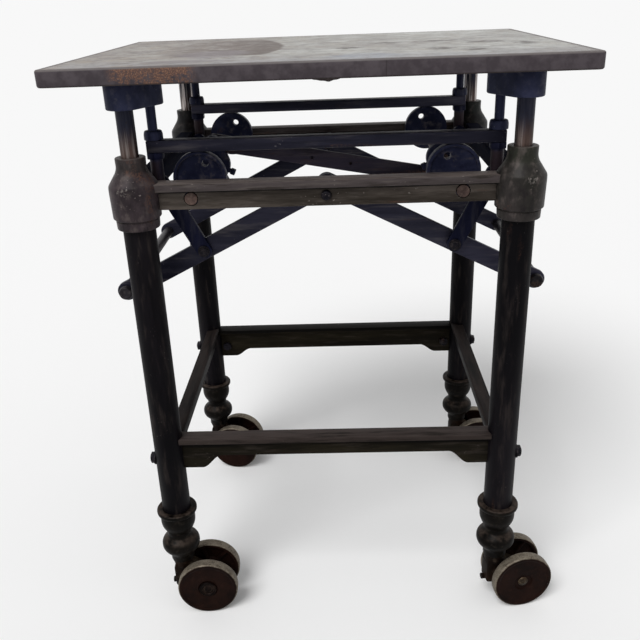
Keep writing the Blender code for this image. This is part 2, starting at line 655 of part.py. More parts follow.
def levers():
    """Left and right levers: a bar at the front and one at the rear, joined by a handle rod."""
    pivot = (0, PIVOT_HEIGHT)
    for name, side in SIDES.items():
        hinge = axis_empty(f"lever_{name}_axis", (0, 0, PIVOT_HEIGHT))
        inner, outer = lever_layer(side)
        pin_x, pin_z = lever_point(side, LEVER_PIN_REACH)
        tip_x, tip_z = lever_point(side, LEVER_REACH)
        for where, end in ENDS.items():
            loops = [belt(pivot, LEVER_WIDTH, (tip_x, tip_z), LEVER_WIDTH),
                     circle(*pivot, PIVOT_BOLT_DIAMETER + 2 * GAP),
                     circle(tip_x, tip_z, HANDLE_NECK_DIAMETER + 2 * GAP)]
            bar = solid(loops, *between(inner, outer, end), "Y")
            head = STRUT_OUTER_Y + GAP
            pin = rod(LEVER_PIN_DIAMETER, *between(inner + LEVER_THICKNESS / 2, head + GAP, end),
                      (pin_x, 0, pin_z), "Y", PIN_STEPS)
            cap = rod(LEVER_PIN_HEAD_DIAMETER, *between(head, head + LEVER_PIN_HEAD_HEIGHT, end),
                      (pin_x, 0, pin_z), "Y")
            spacer = STRUT_INNER_Y - outer - GAP
            extra = []
            if spacer > LEVER_LAYER:
                extra = [rod(LEVER_PIN_HEAD_DIAMETER, *between(outer - GAP, outer + spacer, end),
                             (pin_x, 0, pin_z), "Y")]
            keep(f"lever_bar_{where}_{name}", joined(bar, [joined(pin, [cap]), *extra]), BAR, hinge)
        main, neck, knob = HANDLE_DIAMETER / 2, HANDLE_NECK_DIAMETER / 2, HANDLE_KNOB_DIAMETER / 2
        far = outer + GAP + HANDLE_KNOB_LENGTH
        half = [(0, far), (knob, far), (knob, outer + GAP), (neck, outer + GAP), (neck, inner - GAP),
                (main, inner - GAP)]
        profile = half + [(radius, -along) for radius, along in reversed(half)]
        keep(f"handle_rod_{name}", turned(profile, (tip_x, 0, tip_z), "Y", SMALL_STEPS), ROD, hinge)
        struts(name, side, hinge)


def struts(name, side, hinge):
    """A side's two struts, from the lever pins up to the lift rods' cross pins."""
    foot = lever_point(side, LEVER_PIN_REACH)
    head = (side * LIFT_X, STRUT_PIN_HEIGHT)
    joint = axis_empty(f"struts_{name}_axis", (foot[0], 0, foot[1]), hinge)
    loops = [belt(foot, STRUT_FOOT_WIDTH, head, STRUT_TOP_WIDTH), circle(*foot, LEVER_PIN_DIAMETER + 2 * GAP),
             circle(*head, CROSS_PIN_DIAMETER + 2 * PIN_PLAY)]
    for where, end in ENDS.items():
        plate = solid(loops, *between(STRUT_INNER_Y, STRUT_OUTER_Y, end), "Y")
        keep(f"strut_{where}_{name}", plate, BAR, joint)


# Rocker shafts
def rocker_shafts():
    """Two shafts that turn against each other, each with its crank and two eccentrics, and their link."""
    joints = {}
    shaft_end = LEG_Y + WEB_HALF + SHAFT_PROUD
    for name, side in SIDES.items():
        joint = axis_empty(f"rocker_{name}_axis", (side * SHAFT_X, 0, PIVOT_HEIGHT))
        joints[name] = joint
        place = (side * SHAFT_X, 0, PIVOT_HEIGHT)
        shaft = joined(rod(SHAFT_DIAMETER, -shaft_end, shaft_end, place, "Y", TURN_STEPS), [crank(side)])
        keep(f"rocker_shaft_{name}", shaft, COPPER_BROWN, joint)
        for where, end in ENDS.items():
            keep(f"eccentric_{where}_{name}", eccentric(side, end), BAR, joint)
    left = (-SHAFT_X, PIVOT_HEIGHT + CRANK_RADIUS)
    right = (SHAFT_X, PIVOT_HEIGHT - CRANK_RADIUS)
    link = axis_empty("sync_link_axis", (left[0], 0, left[1]), joints["left"])
    loops = [belt(left, LINK_WIDTH, right, LINK_WIDTH), circle(*left, CRANK_PIN_DIAMETER + 2 * GAP),
             circle(*right, CRANK_PIN_DIAMETER + 2 * PIN_PLAY)]
    for share in LINK_HOLE_PLACES:
        loops.append(circle(left[0] + share * (right[0] - left[0]), left[1] + share * (right[1] - left[1]),
                            LINK_HOLE_DIAMETER, 8))
    keep("sync_link", solid(loops, LINK_NEAR_Y, LINK_FAR_Y, "Y"), LINK_BROWN, link)


def crescent(centre, diameter, hub, hub_diameter):
    """The outline left of a round recess where a hub stands in its edge."""
    radius, hub_radius = diameter / 2, hub_diameter / 2
    throw = hypot(hub[0] - centre[0], hub[1] - centre[1])
    towards = atan2(hub[1] - centre[1], hub[0] - centre[0])
    open_angle = acos((radius**2 + throw**2 - hub_radius**2) / (2 * radius * throw))
    hub_angle = acos((throw**2 + hub_radius**2 - radius**2) / (2 * throw * hub_radius))
    outer = arc(*centre, radius, towards + open_angle, towards + 2 * pi - open_angle)
    inner = arc(*hub, hub_radius, towards + pi + hub_angle, towards + pi - hub_angle)
    return outer + inner[1:-1]


def eccentric(side, end):
    """A rimmed disc, recessed on its outer face round its hub, bored off centre and with a hole for a bar."""
    lean = side * CAM_LEAN
    x, z = side * SHAFT_X - CAM_THROW * sin(lean), PIVOT_HEIGHT + CAM_THROW * cos(lean)
    shaft = (side * SHAFT_X, PIVOT_HEIGHT)
    low, high = between(CAM_INNER_Y, CAM_INNER_Y + CAM_THICKNESS, end)
    hole = (x - side * CAM_HOLE_REACH * cos(CAM_HOLE_ANGLE), z + CAM_HOLE_REACH * sin(CAM_HOLE_ANGLE))
    disc = solid([circle(x, z, 2 * CAM_RADIUS, TURN_STEPS), circle(*shaft, SHAFT_DIAMETER + 2 * GAP, TURN_STEPS),
                  circle(*hole, CAM_HOLE_DIAMETER)], low, high, "Y")
    recess = crescent((x, z), 2 * (CAM_RADIUS - CAM_RIM), shaft, CAM_HUB_DIAMETER)
    face = high if end > 0 else low
    return cut(disc, [solid([recess], face - CAM_RECESS, face + CAM_RECESS, "Y")])


def crank(side):
    """A crank clamped on the shaft by a square set screw. The left one points up and the right one down."""
    shaft = (side * SHAFT_X, PIVOT_HEIGHT)
    pin = (shaft[0], PIVOT_HEIGHT - side * CRANK_RADIUS)
    half = CRANK_THICKNESS / 2
    arm = solid([belt(shaft, CRANK_HUB_DIAMETER, pin, CRANK_BOSS_DIAMETER)], -half, half, "Y")
    place = (pin[0], 0, pin[1])
    head = LINK_FAR_Y + GAP
    stud = joined(rod(CRANK_PIN_DIAMETER, half - LEVER_LAYER, head + GAP, place, "Y", PIN_STEPS),
                  [rod(CRANK_PIN_HEAD_DIAMETER, head, head + CRANK_PIN_HEAD_HEIGHT, place, "Y", PIN_STEPS)])
    screw = box((CRANK_HUB_DIAMETER / 2 - LEVER_LAYER * 4, -SET_SCREW_SIZE / 2, -SET_SCREW_SIZE / 2),
                (SET_SCREW_REACH, SET_SCREW_SIZE / 2, SET_SCREW_SIZE / 2))
    turn = SET_SCREW_ANGLE if side < 0 else pi - SET_SCREW_ANGLE
    screw.transform(Matrix.Translation((shaft[0], 0, PIVOT_HEIGHT)) @ Matrix.Rotation(-turn, 4, "Y"))
    return joined(arm, [stud, screw])


# Casters
def wheel_profile():
    """A caster wheel: flat outer face, plain tread, and an inner side that is hollow round its hub."""
    tread, rim, hub = WHEEL_RADIUS, WHEEL_RADIUS - WHEEL_RIM, WHEEL_HUB_DIAMETER / 2
    bore = AXLE_DIAMETER / 2 + GAP
    face, inside = WHEEL_WIDTH / 2, -WHEEL_WIDTH / 2
    return [(tread, face), (tread, inside), (rim, inside), (rim, face - WHEEL_WEB), (hub, face - WHEEL_WEB),
            (hub, inside), (bore, inside), (bore, face)]


def casters():
    """Four casters, drawn as if they trail to the right and each swung by its own small turn."""
    for corner, (side, end) in CORNERS.items():
        x, y = side * LEG_X, end * LEG_Y
        swung = Matrix.Translation((x, y, 0)) @ Matrix.Rotation(CASTER_TURNS[corner], 4, "Z")
        swivel = axis_empty(f"caster_{corner}_swivel", (x, y, FOOT_BOTTOM))
        arm = horn()
        arm.transform(swung)
        keep(f"caster_horn_{corner}", arm, IRON, swivel)
        axle = swung @ Vector((CASTER_TRAIL, 0, WHEEL_RADIUS))
        for name, face in (("a", -1), ("b", 1)):
            spin = axis_empty(f"caster_{corner}_axle_{name}", axle, swivel)
            made = turned(wheel_profile(), (0, 0, 0), "Y")
            if face < 0:
                made.transform(Matrix.Rotation(pi, 4, "Z"))
            made.transform(swung @ Matrix.Translation((CASTER_TRAIL, face * (WHEEL_GAP + WHEEL_WIDTH) / 2, WHEEL_RADIUS)))
            keep(f"caster_wheel_{corner}_{name}", made, WHEEL_BROWN, spin)


def horn():
    """A caster's horn: stem, bearing neck, the arm between the wheels and the axle with its riveted rings."""
    half = WHEEL_GAP / 2 - HORN_WALL_GAP
    neck_bottom = FOOT_BOTTOM - HORN_NECK_HEIGHT
    shoulder = (0, neck_bottom - HORN_STEM_DIAMETER / 2 + HORN_WALL_GAP)
    arm = solid([belt(shoulder, HORN_STEM_DIAMETER, (CASTER_TRAIL, WHEEL_RADIUS), HORN_BOSS_DIAMETER)],
                -half, half, "Y")
    stem, neck = STEM_DIAMETER / 2, HORN_NECK_DIAMETER / 2
    root = HORN_STEM_DIAMETER / 2 - HORN_WALL_GAP
    seat = FOOT_BOTTOM - GAP
    post = turned([(0, seat + STEM_LENGTH), (stem, seat + STEM_LENGTH), (stem, seat), (neck, seat),
                   (neck, neck_bottom + HORN_NECK_HEIGHT / 2), (root, neck_bottom - HORN_NECK_HEIGHT / 2),
                   (0, neck_bottom - HORN_NECK_HEIGHT / 2)], steps=SMALL_STEPS)
    cap = AXLE_RING_DIAMETER / 2
    end = WHEEL_GAP / 2 + WHEEL_WIDTH
    axle = AXLE_DIAMETER / 2
    pin = turned([(0, end + AXLE_RING_HEIGHT), (cap, end + AXLE_RING_HEIGHT), (cap, end + GAP), (axle, end + GAP),
                  (axle, -end - GAP), (cap, -end - GAP), (cap, -end - AXLE_RING_HEIGHT), (0, -end - AXLE_RING_HEIGHT)],
                 (CASTER_TRAIL, 0, WHEEL_RADIUS), "Y", SMALL_STEPS)
    return joined(arm, [post, pin])


def main():
    leg_tubes()
    head_frames()
    upper_side_rails()
    lower_rails()
    foot_sockets()
    lift_gear(lift_table())
    levers()
    rocker_shafts()
    casters()


main()
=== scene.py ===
# %% [markdown]
# Adjustable printers table
#
# A heavy plate top slides up and down on four guide rods. Two long levers with struts lift it, and two
# linked shafts with eccentrics trim it. The frame is pipe legs in cast heads, on twin-wheel casters. This
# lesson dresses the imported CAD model: each solid is replaced by a finer piece that moves with it.

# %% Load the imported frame
import json
from math import atan2, cos, hypot, pi, radians, sin, tau

import bmesh
import bpy
from mathutils import Matrix, Vector


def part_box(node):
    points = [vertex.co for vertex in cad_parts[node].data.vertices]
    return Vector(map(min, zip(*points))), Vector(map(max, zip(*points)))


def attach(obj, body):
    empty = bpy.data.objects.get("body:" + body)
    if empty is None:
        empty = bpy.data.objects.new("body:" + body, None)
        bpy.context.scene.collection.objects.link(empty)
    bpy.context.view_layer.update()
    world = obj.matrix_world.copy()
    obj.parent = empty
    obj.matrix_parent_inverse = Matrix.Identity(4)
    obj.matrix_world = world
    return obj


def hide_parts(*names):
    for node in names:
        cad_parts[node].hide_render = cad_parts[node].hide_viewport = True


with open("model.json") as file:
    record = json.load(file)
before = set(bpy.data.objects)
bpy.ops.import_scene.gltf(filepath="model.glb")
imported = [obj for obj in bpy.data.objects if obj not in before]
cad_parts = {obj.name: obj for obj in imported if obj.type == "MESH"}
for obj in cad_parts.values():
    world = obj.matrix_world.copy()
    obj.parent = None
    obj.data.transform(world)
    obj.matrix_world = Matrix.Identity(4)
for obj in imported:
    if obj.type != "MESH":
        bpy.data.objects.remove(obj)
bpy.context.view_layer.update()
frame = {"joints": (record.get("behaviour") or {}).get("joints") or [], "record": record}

# %% [markdown]
# Places on the table
#
# Places are read from the CAD model: a foot's box gives the axis of its leg, and a joint gives the axis
# of its shaft. Only radii, thicknesses and small steps are typed here, so the dress follows if a piece is
# moved.

# %% Read the places
record = frame["record"]
BODY = {node: body for body, nodes in record["behaviour"]["bodies"].items() for node in nodes}
AXIS = {joint["name"]: Vector(joint["pos_m"]) for joint in frame["joints"] if "pos_m" in joint}
POINTING = {joint["name"]: Vector(joint["axis"]).normalized() for joint in frame["joints"]}
SIDES = {"left": -1, "right": 1}
ENDS = {"front": -1, "rear": 1}
CORNERS = {f"{end}_{side}": (end, side) for end in ENDS for side in SIDES}
TO_REAR = (0, 1, 0)
PLAY = 0.0003  # the gap between pieces that touch


def low(node):
    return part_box(node)[0]


def high(node):
    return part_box(node)[1]


def middle(node):
    return (low(node) + high(node)) / 2


def faces_y(node):
    """How far a node's inner and outer faces lie from the table's middle plane."""
    return sorted((abs(low(node).y), abs(high(node).y)))


LEG = {corner: middle(f"foot_socket_{corner}") for corner in CORNERS}
LIFT = {corner: Vector((middle(f"lift_rod_{corner}").x, middle(f"lifting_rail_{end}").y, 0))
        for corner, (end, _) in CORNERS.items()}
MIDDLE_X, PIVOT_Z = AXIS["lever_left_pivot"].xz
print("leg axes", {corner: tuple(round(c, 3) for c in spot.xy) for corner, spot in LEG.items()})

# %% [markdown]
# Camera
#
# The photograph was taken by hand, a little above the top and turned slightly clockwise. The place, the
# three turns and the focal length come from a fit of the table's straight edges, so the camera is built
# from them: a view direction, a right-hand direction, and a small roll about the first.

# %% Camera
EYE = Vector((MIDDLE_X + 0.0207, -1.3171, 1.0338))
YAW, PITCH, ROLL = 0.034, 0.4111, 0.0376
LENS = 42.64


def shown(name, data):
    """A new object in the scene."""
    made = bpy.data.objects.new(name, data)
    bpy.context.scene.collection.objects.link(made)
    return made


forward = Vector((-sin(YAW) * cos(PITCH), cos(YAW) * cos(PITCH), -sin(PITCH)))
level = Vector((cos(YAW), sin(YAW), 0))
down = forward.cross(level)
right = cos(ROLL) * level + sin(ROLL) * down
up = sin(ROLL) * level - cos(ROLL) * down
camera = shown("photo_camera", bpy.data.cameras.new("photo_camera"))
camera.data.lens = LENS
camera.matrix_world = Matrix.Translation(EYE) @ Matrix((right, up, -forward)).transposed().to_4x4()
bpy.context.scene.camera = camera
print("camera at", tuple(round(c, 3) for c in EYE))

# %% [markdown]
# Turning, hulling and pushing
#
# Almost everything on this table is one of three things: turned on a lathe, a flat bar with round ends,
# or a straight rolled or cast section. A modifier stack could make each, but small helpers on bmesh
# operators are shorter: a profile is spun, pairs of circles are wrapped in a hull, and an outline is
# pushed along. A corner of a turned profile may carry a third number, the radius that softens it.

# %% Turned shapes
def closed(draft):
    """Welds a draft's seams and turns its faces outwards."""
    bmesh.ops.remove_doubles(draft, verts=draft.verts, dist=1e-6)
    bmesh.ops.recalc_face_normals(draft, faces=draft.faces)
    return draft


def softened(draft, parts, offset, segments=3, affect="EDGES"):
    """Rounds some edges, or some corners of a flat profile."""
    bmesh.ops.bevel(draft, geom=parts, offset=offset, offset_type="OFFSET", segments=segments, profile=0.5,
                    affect=affect, clamp_overlap=True, material=-1)
    return draft


def turned(profile, steps):
    """Spins (radius, height[, softening]) points round Z. They run down the outside and back up the bore."""
    draft = bmesh.new()
    points = [draft.verts.new((radius, 0, height)) for radius, height, *_ in profile]
    for one, two in zip(points, points[1:]):
        draft.edges.new((one, two))
    if profile[0][0] > 0:
        draft.edges.new((points[-1], points[0]))
    for point, spot in zip(points, profile):
        if len(spot) > 2:
            softened(draft, [point], spot[2], 4, "VERTICES")
    bmesh.ops.spin(draft, geom=draft.verts[:] + draft.edges[:], cent=(0, 0, 0), axis=(0, 0, 1), angle=tau,
                   steps=steps, use_merge=True)
    return closed(draft)


def both_ends(half):
    """The profile of a bar with two like ends, from its upper end."""
    return half + [(radius, -height, *soft) for radius, height, *soft in reversed(half)]


def stood(draft, place, towards=(0, 0, 1)):
    """Turns a draft's Z axis towards a direction and moves its origin to a place."""
    turn = Vector((0, 0, 1)).rotation_difference(Vector(towards)).to_matrix().to_4x4()
    bmesh.ops.transform(draft, matrix=Matrix.Translation(place) @ turn, verts=draft.verts)
    return draft


def rod(radius, length, soften, steps):
    """A round bar that stands on its origin."""
    return turned([(0, length), (radius, length, soften), (radius, 0, soften), (0, 0)], steps)


# %% Round-ended bars
CREASE, CORNER = radians(30), radians(60)


def sharp_edges(draft, angle):
    return [edge for edge in draft.edges if len(edge.link_faces) == 2 and edge.calc_face_angle() > angle]


def points_of(parts):
    return [part for part in parts if isinstance(part, bmesh.types.BMVert)]


def hulled(circles, near, far, soften, upright=False, segments=48):
    """A flat body wrapped round (place, radius) circles, between two levels along Y, or Z if upright."""
    draft = bmesh.new()
    lie = Matrix() if upright else Matrix.Rotation(pi / 2, 4, "X")
    for (across, along), radius in circles:
        for depth in (near, far):
            spot = Matrix.Translation((across, along, depth) if upright else (across, depth, along))
            bmesh.ops.create_circle(draft, cap_ends=False, radius=radius, segments=segments,
                                    matrix=spot @ lie)
    wrap = bmesh.ops.convex_hull(draft, input=draft.verts, use_existing_faces=False)
    bmesh.ops.delete(draft, geom=points_of(wrap["geom_interior"] + wrap["geom_unused"]), context="VERTS")
    bmesh.ops.dissolve_limit(draft, angle_limit=radians(1), verts=draft.verts, edges=draft.edges)
    closed(draft)
    return softened(draft, sharp_edges(draft, CORNER), soften)


# %% Straight sections
def pushed(outline, along, near, far, soften, fillet=0.0):
    """A flat outline pushed along X or Y, with its outer edges eased and its inner corners filleted."""
    draft = bmesh.new()
    spots = [(near, a, b) if along == "X" else (a, near, b) for a, b in outline]
    face = draft.faces.new([draft.verts.new(spot) for spot in spots])
    moved = bmesh.ops.extrude_face_region(draft, geom=[face])["geom"]
    travel = Vector((far - near, 0, 0)) if along == "X" else Vector((0, far - near, 0))
    bmesh.ops.translate(draft, vec=travel, verts=points_of(moved))
    closed(draft)
    if fillet:
        softened(draft, [edge for edge in sharp_edges(draft, CREASE) if not edge.is_convex], fillet)
    return softened(draft, [edge for edge in sharp_edges(draft, CORNER) if edge.is_convex], soften, 2)


def block(near, far, soften):
    """A rectangular bar between two corners."""
    outline = [(near[1], near[2]), (far[1], near[2]), (far[1], far[2]), (near[1], far[2])]
    return pushed(outline, "X", near[0], far[0], soften)


# %% Bolts and nuts
def gathered(*drafts):
    """Several drafts in one, for parts that only touch."""
    for draft in drafts[1:]:
        mesh = bpy.data.meshes.new("share")
        draft.to_mesh(mesh)
        draft.free()
        drafts[0].from_mesh(mesh)
        bpy.data.meshes.remove(mesh)
    return drafts[0]


def hex_head(radius, height, tip=0.0):
    """A chamfered hexagon that stands on its origin, with a bolt's tip in its middle if one is given."""
    draft = bmesh.new()
    bmesh.ops.create_cone(draft, cap_ends=True, segments=6, radius1=radius, radius2=radius, depth=height,
                          matrix=Matrix.Translation((0, 0, height / 2)))
    softened(draft, sharp_edges(draft, CREASE), height * 0.12, 2)
    return gathered(draft, rod(tip, height * 1.25, height * 0.1, 24)) if tip else draft


def on_washer(head, seat, radius, thick, steps):
    """A bolt head or nut on its washer."""
    washer = turned([(0, thick), (radius, thick, 0.0008), (radius, 0, 0.0004), (0, 0)], steps)
    return gathered(washer, stood(head, (0, 0, seat)))


# %% [markdown]
# Drilling and joining
#
# Bmesh has no Boolean of its own. A hole in a bar is cut by a Boolean modifier on a working object, whose
# result is taken back into a draft, and the working objects are thrown away.

# %% Drill and join
def worked(draft, tools, operation):
    """What a Boolean of a draft with some tools leaves."""
    holders = []
    for shape in (draft, *tools):
        mesh = bpy.data.meshes.new("work")
        shape.to_mesh(mesh)
        shape.free()
        holders.append(shown("work", mesh))
    for tool in holders[1:]:
        step = holders[0].modifiers.new(operation, "BOOLEAN")
        step.operation, step.object, step.solver = operation, tool, "EXACT"
    bpy.context.view_layer.update()
    result = bpy.data.meshes.new_from_object(holders[0].evaluated_get(bpy.context.evaluated_depsgraph_get()))
    made = bmesh.new()
    made.from_mesh(result)
    for holder in holders:
        mesh = holder.data
        bpy.data.objects.remove(holder, do_unlink=True)
        bpy.data.meshes.remove(mesh)
    bpy.data.meshes.remove(result)
    return closed(made)


def bit(radius, length, steps, place, towards=(0, 0, 1)):
    """A drill bit in its place."""
    return stood(rod(radius, length, 0.0002, steps), place, towards)


def drilled(draft, *bits):
    return worked(draft, bits, "DIFFERENCE")


def fused(draft, *others):
    return worked(draft, others, "UNION")


# %% [markdown]
# From draft to piece
#
# A finished piece sits at the origin with its place in its mesh and rides on the body of the CAD node that
# it stands for. Smooth shading with sharp edges by angle keeps turned surfaces round and machined edges
# crisp.

# %% Keep a piece
SHARP = radians(38)
made_pieces, told_pieces = [], []


def piece(name, draft, finish, node):
    """Keeps a draft as a piece that stands for a CAD node."""
    mesh = bpy.data.meshes.new(name)
    draft.to_mesh(mesh)
    draft.free()
    mesh.shade_smooth()
    mesh.set_sharp_from_angle(angle=SHARP)
    mesh.materials.append(finish.material)
    kept = shown(name, mesh)
    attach(kept, BODY[node])
    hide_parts(node)
    made_pieces.append(kept)


def tally(title):
    """Tells how many pieces and faces a step has made."""
    new = made_pieces[len(told_pieces):]
    told_pieces.extend(new)
    print(f"{title}: {len(new)} pieces, {sum(len(kept.data.polygons) for kept in new)} faces")


# %% [markdown]
# Shader sums
#
# A finish is a small graph of nodes. Writing sums as Python makes the graph readable: Feed wraps one
# output socket, and adding, taking away or multiplying two feeds adds the Math node that does it. Every
# other node comes from Finish.node, which sets the node's own settings before its sockets.

# %% Feed and Finish
class Feed:
    """One output socket that takes part in sums."""

    def __init__(self, finish, socket):
        self.finish, self.socket = finish, socket

    def sum(self, operation, one, two):
        return self.finish.node("ShaderNodeMath", {"operation": operation}, {0: one, 1: two})

    def __add__(self, other):
        return self.sum("ADD", self, other)

    def __radd__(self, other):
        return self.sum("ADD", other, self)

    def __sub__(self, other):
        return self.sum("SUBTRACT", self, other)

    def __rsub__(self, other):
        return self.sum("SUBTRACT", other, self)

    def __mul__(self, other):
        return self.sum("MULTIPLY", self, other)


class Finish:
    """A Principled material and the steps that its pattern is made of."""

    def __init__(self, name, specular):
        self.material = bpy.data.materials.new(name)
        self.material.use_nodes = True
        self.tree = self.material.node_tree
        self.shader = self.tree.nodes["Principled BSDF"]
        self.shader.inputs["Specular IOR Level"].default_value = specular
        self.place = self.node("ShaderNodeTexCoord", output="Object")

    def node(self, kind, settings=None, sockets=None, output=0):
        node = self.tree.nodes.new(kind)
        for key, value in (settings or {}).items():
            setattr(node, key, value)
        for key, value in (sockets or {}).items():
            self.join(value, node.inputs[key])
        return Feed(self, node.outputs[output])

    def join(self, value, socket):
        if isinstance(value, Feed):
            self.tree.links.new(value.socket, socket)
        elif socket.type == "RGBA":
            socket.default_value = (*value, 1.0)
        else:
            socket.default_value = value

    def noise(self, scale, detail, roughness, stretch=None, shift=0.0):
        """A cloudy pattern from 0 to 1. Stretch draws it out along an axis, and shift moves it."""
        where = self.place
        if stretch or shift:
            where = self.node("ShaderNodeMapping", None,
                              {"Vector": where, "Scale": stretch or (1, 1, 1), "Location": (shift,) * 3})
        return self.node("ShaderNodeTexNoise", None,
                         {"Vector": where, "Scale": scale, "Detail": detail, "Roughness": roughness}, "Fac")

    def mask(self, value, start, end):
        """0 at the start value and 1 at the end value, eased."""
        return self.node("ShaderNodeMapRange", {"interpolation_type": "SMOOTHSTEP"},
                         {"Value": value, "From Min": start, "From Max": end}, "Result")

    def mix(self, share, one, two):
        return self.node("ShaderNodeMix", {"data_type": "RGBA"}, {0: share, 6: one, 7: two}, 2)

    def layers(self, colour, *coats):
        """A colour with some (share, tint) coats over it."""
        for share, tint in coats:
            colour = self.mix(share, colour, tint)
        return colour

    def size(self, value):
        """A value without its sign."""
        return self.node("ShaderNodeMath", {"operation": "ABSOLUTE"}, {0: value})

    def split(self, vector):
        parts = self.node("ShaderNodeSeparateXYZ", None, {0: vector}).socket.node.outputs
        return [Feed(self, part) for part in parts]

    def axes(self):
        return self.split(self.place)

    def edges(self, reach):
        """1 on worn edges: where a rounded normal leaves the true one."""
        rounded = self.node("ShaderNodeBevel", {"samples": 4}, {"Radius": reach})
        true = self.node("ShaderNodeNewGeometry", output="Normal")
        agree = self.node("ShaderNodeVectorMath", {"operation": "DOT_PRODUCT"}, {0: rounded, 1: true},
                          "Value")
        return self.mask(1.0 - agree, 0.015, 0.2)

    def upward(self):
        """1 where the surface faces up, for settled dust."""
        return self.mask(self.split(self.node("ShaderNodeTexCoord", output="Normal"))[2], 0.35, 0.95)

    def wear(self, colour, roughness, metallic, height, strength=0.35, distance=0.0008):
        """Feeds the shader: a colour, two values and a bump from a height."""
        bump = self.node("ShaderNodeBump", None,
                         {"Height": height, "Strength": strength, "Distance": distance})
        for socket, value in (("Base Color", colour), ("Roughness", roughness), ("Metallic", metallic),
                              ("Normal", bump)):
            self.join(value, self.shader.inputs[socket])
        return self


# %% [markdown]
# Weathered iron and steel
#
# Old paint on iron is never one colour. Under everything lies a deep tone and a paler one, mixed by a
# slow noise. A faster noise breaks it into mottling, patches of rust come through, edges and high spots
# are rubbed pale, dust greys what faces up, and a few flecks are scratched bright. One recipe takes those
# tones as arguments, because all the iron on this table has aged in the same room.

# %% The weathering recipe
def weathered(name, deep, body, worn, rust, rust_share, rough, metal, dust=None, stretch=None, tone=None,
              painted_light_coat=None, flecks=0.5, specular=0.08, grain=1.0, edge=0.0018):
    """Old iron, with its tones in thousandths. Tone and the last coat are steps of a piece's own, before and
    after the wear that all pieces share. The last coat paints a shadow under the rail flanges, and a
    highlight with some bare metal on the front heads' shoulders."""
    deep, body, worn, rust, dust = [tint and tuple(c / 1000 for c in tint)
                                    for tint in (deep, body, worn, rust, dust)]
    finish = Finish(name, specular)
    mask, noise = finish.mask, finish.noise
    slow = noise(11 * grain, 5, 0.6, stretch)
    fast = noise(85 * grain, 5, 0.6, stretch, 3.0)
    grit = noise(520 * grain, 3, 0.5, None, 7.0)
    blotch = noise(38 * grain, 5, 0.65, stretch, 29.0)
    through = noise(26 * grain, 6, 0.65, stretch, 11.0)
    patches = mask(through, 0.72 - rust_share * 0.5, 0.82 - rust_share * 0.5)
    rubbed = finish.edges(edge) * mask(noise(60, 4, 0.6, None, 5.0), 0.4, 0.66)
    speck = mask(noise(330, 2, 0.4, None, 17.0), 0.71, 0.755)
    speck = speck * mask(noise(19, 3, 0.5, None, 23.0), 0.52, 0.64)
    coats = [(mask(fast, 0.5, 0.74) * 0.45, worn), (mask(fast, 0.5, 0.3) * 0.55, deep),
             (mask(blotch, 0.54, 0.66) * 0.65, deep), (patches * mask(grit, 0.38, 0.6), rust),
             (rubbed * 0.8, worn)]
    if dust:
        coats.append((finish.upward() * mask(fast + slow * 0.5, 0.58, 0.88) * 0.7, dust))
    coats.append((speck * flecks, tuple(min(1.0, 2.2 * c + 0.05) for c in worn)))
    colour = finish.mix(mask(slow, 0.36, 0.66), deep, body)
    colour = finish.layers(tone(finish, colour) if tone else colour, *coats)
    if painted_light_coat:
        colour = painted_light_coat(finish, colour)
    roughness = rough + (fast - 0.5) * 0.3 + (grit - 0.5) * 0.12 - rubbed * 0.14
    metallic = metal + rubbed * 0.35 - patches * metal
    return finish.wear(colour, roughness, metallic, slow * 0.5 + fast * 0.8 + grit * 0.35)


# %% Steps for single pieces
ALONG_X, ALONG_Y, ALONG_Z = (0.12, 1, 1), (1, 0.12, 1), (1, 1, 0.16)
HEAD_TOP = high("head_frame_front").z
RAIL_FOOT = low("lifting_rail_front").z


def head_paint(finish, colour):
    """Old green paint is left on the right-hand heads and on every neck, and the rear heads are darker."""
    across, depth, height = finish.axes()
    neck = finish.mask(height, HEAD_TOP - 0.03, HEAD_TOP - 0.014)
    return finish.layers(colour, (finish.mask(across, 0.05, 0.25) * 0.55 + neck * 0.4, (0.021, 0.022, 0.016)),
                         (finish.mask(depth, -0.05, 0.05) * 0.8, (0.011, 0.013, 0.013)))


def head_shoulder_highlight_and_wear(finish, colour):
    """The two front heads get a pale patch on the shoulder, a little left and right of the middle: a painted
    highlight, with some bare metal in it.
    """
    across, depth, height = finish.axes()
    ragged = (finish.noise(240, 4, 0.75, None, 43.0) - 0.5) * 9
    tall = (height - (HEAD_TOP - 0.044)) * (1 / 0.0065)
    for corner, offset in (("front_left", -0.0075), ("front_right", 0.0095)):
        wide = (across - (LEG[corner].x + offset)) * (1 / 0.011)
        bare = finish.mask(wide * wide + tall * tall + ragged, 0.5, -0.6) * finish.mask(depth, -0.2, -0.22)
        colour = finish.mix(bare * 0.75, colour, (0.2, 0.18, 0.165))
    return colour


def sleeve_rust(finish, colour):
    """The sleeves under the lifting rails have rusted brown."""
    below = finish.mask(finish.axes()[2], RAIL_FOOT - 0.008, RAIL_FOOT - 0.016)
    return finish.mix(below * 0.75, colour, (0.034, 0.02, 0.018))


def flange_tone(height, above):
    """A rail's flange has another tone than its web."""
    def tone(finish, colour):
        return finish.mix(finish.mask(finish.axes()[2], height - 0.0006, height + 0.0002), colour, above)
    return tone


def flange_painted_shadow(height, depth, dark):
    """A painted shadow on the web right under a rail's flange, where the flange shades it, with a ragged
    lower edge.
    """
    def painted_light_coat(finish, colour):
        level = finish.axes()[2]
        ragged = (finish.noise(60, 5, 0.7, ALONG_X, 37.0) - 0.5) * depth * 1.6
        under = finish.mask(level, height + 0.0004, height - 0.0004)
        band = finish.mask(level + ragged, height - depth * 1.2, height - depth * 0.7)
        return finish.mix(under * band * 0.92, colour, dark)
    return painted_light_coat


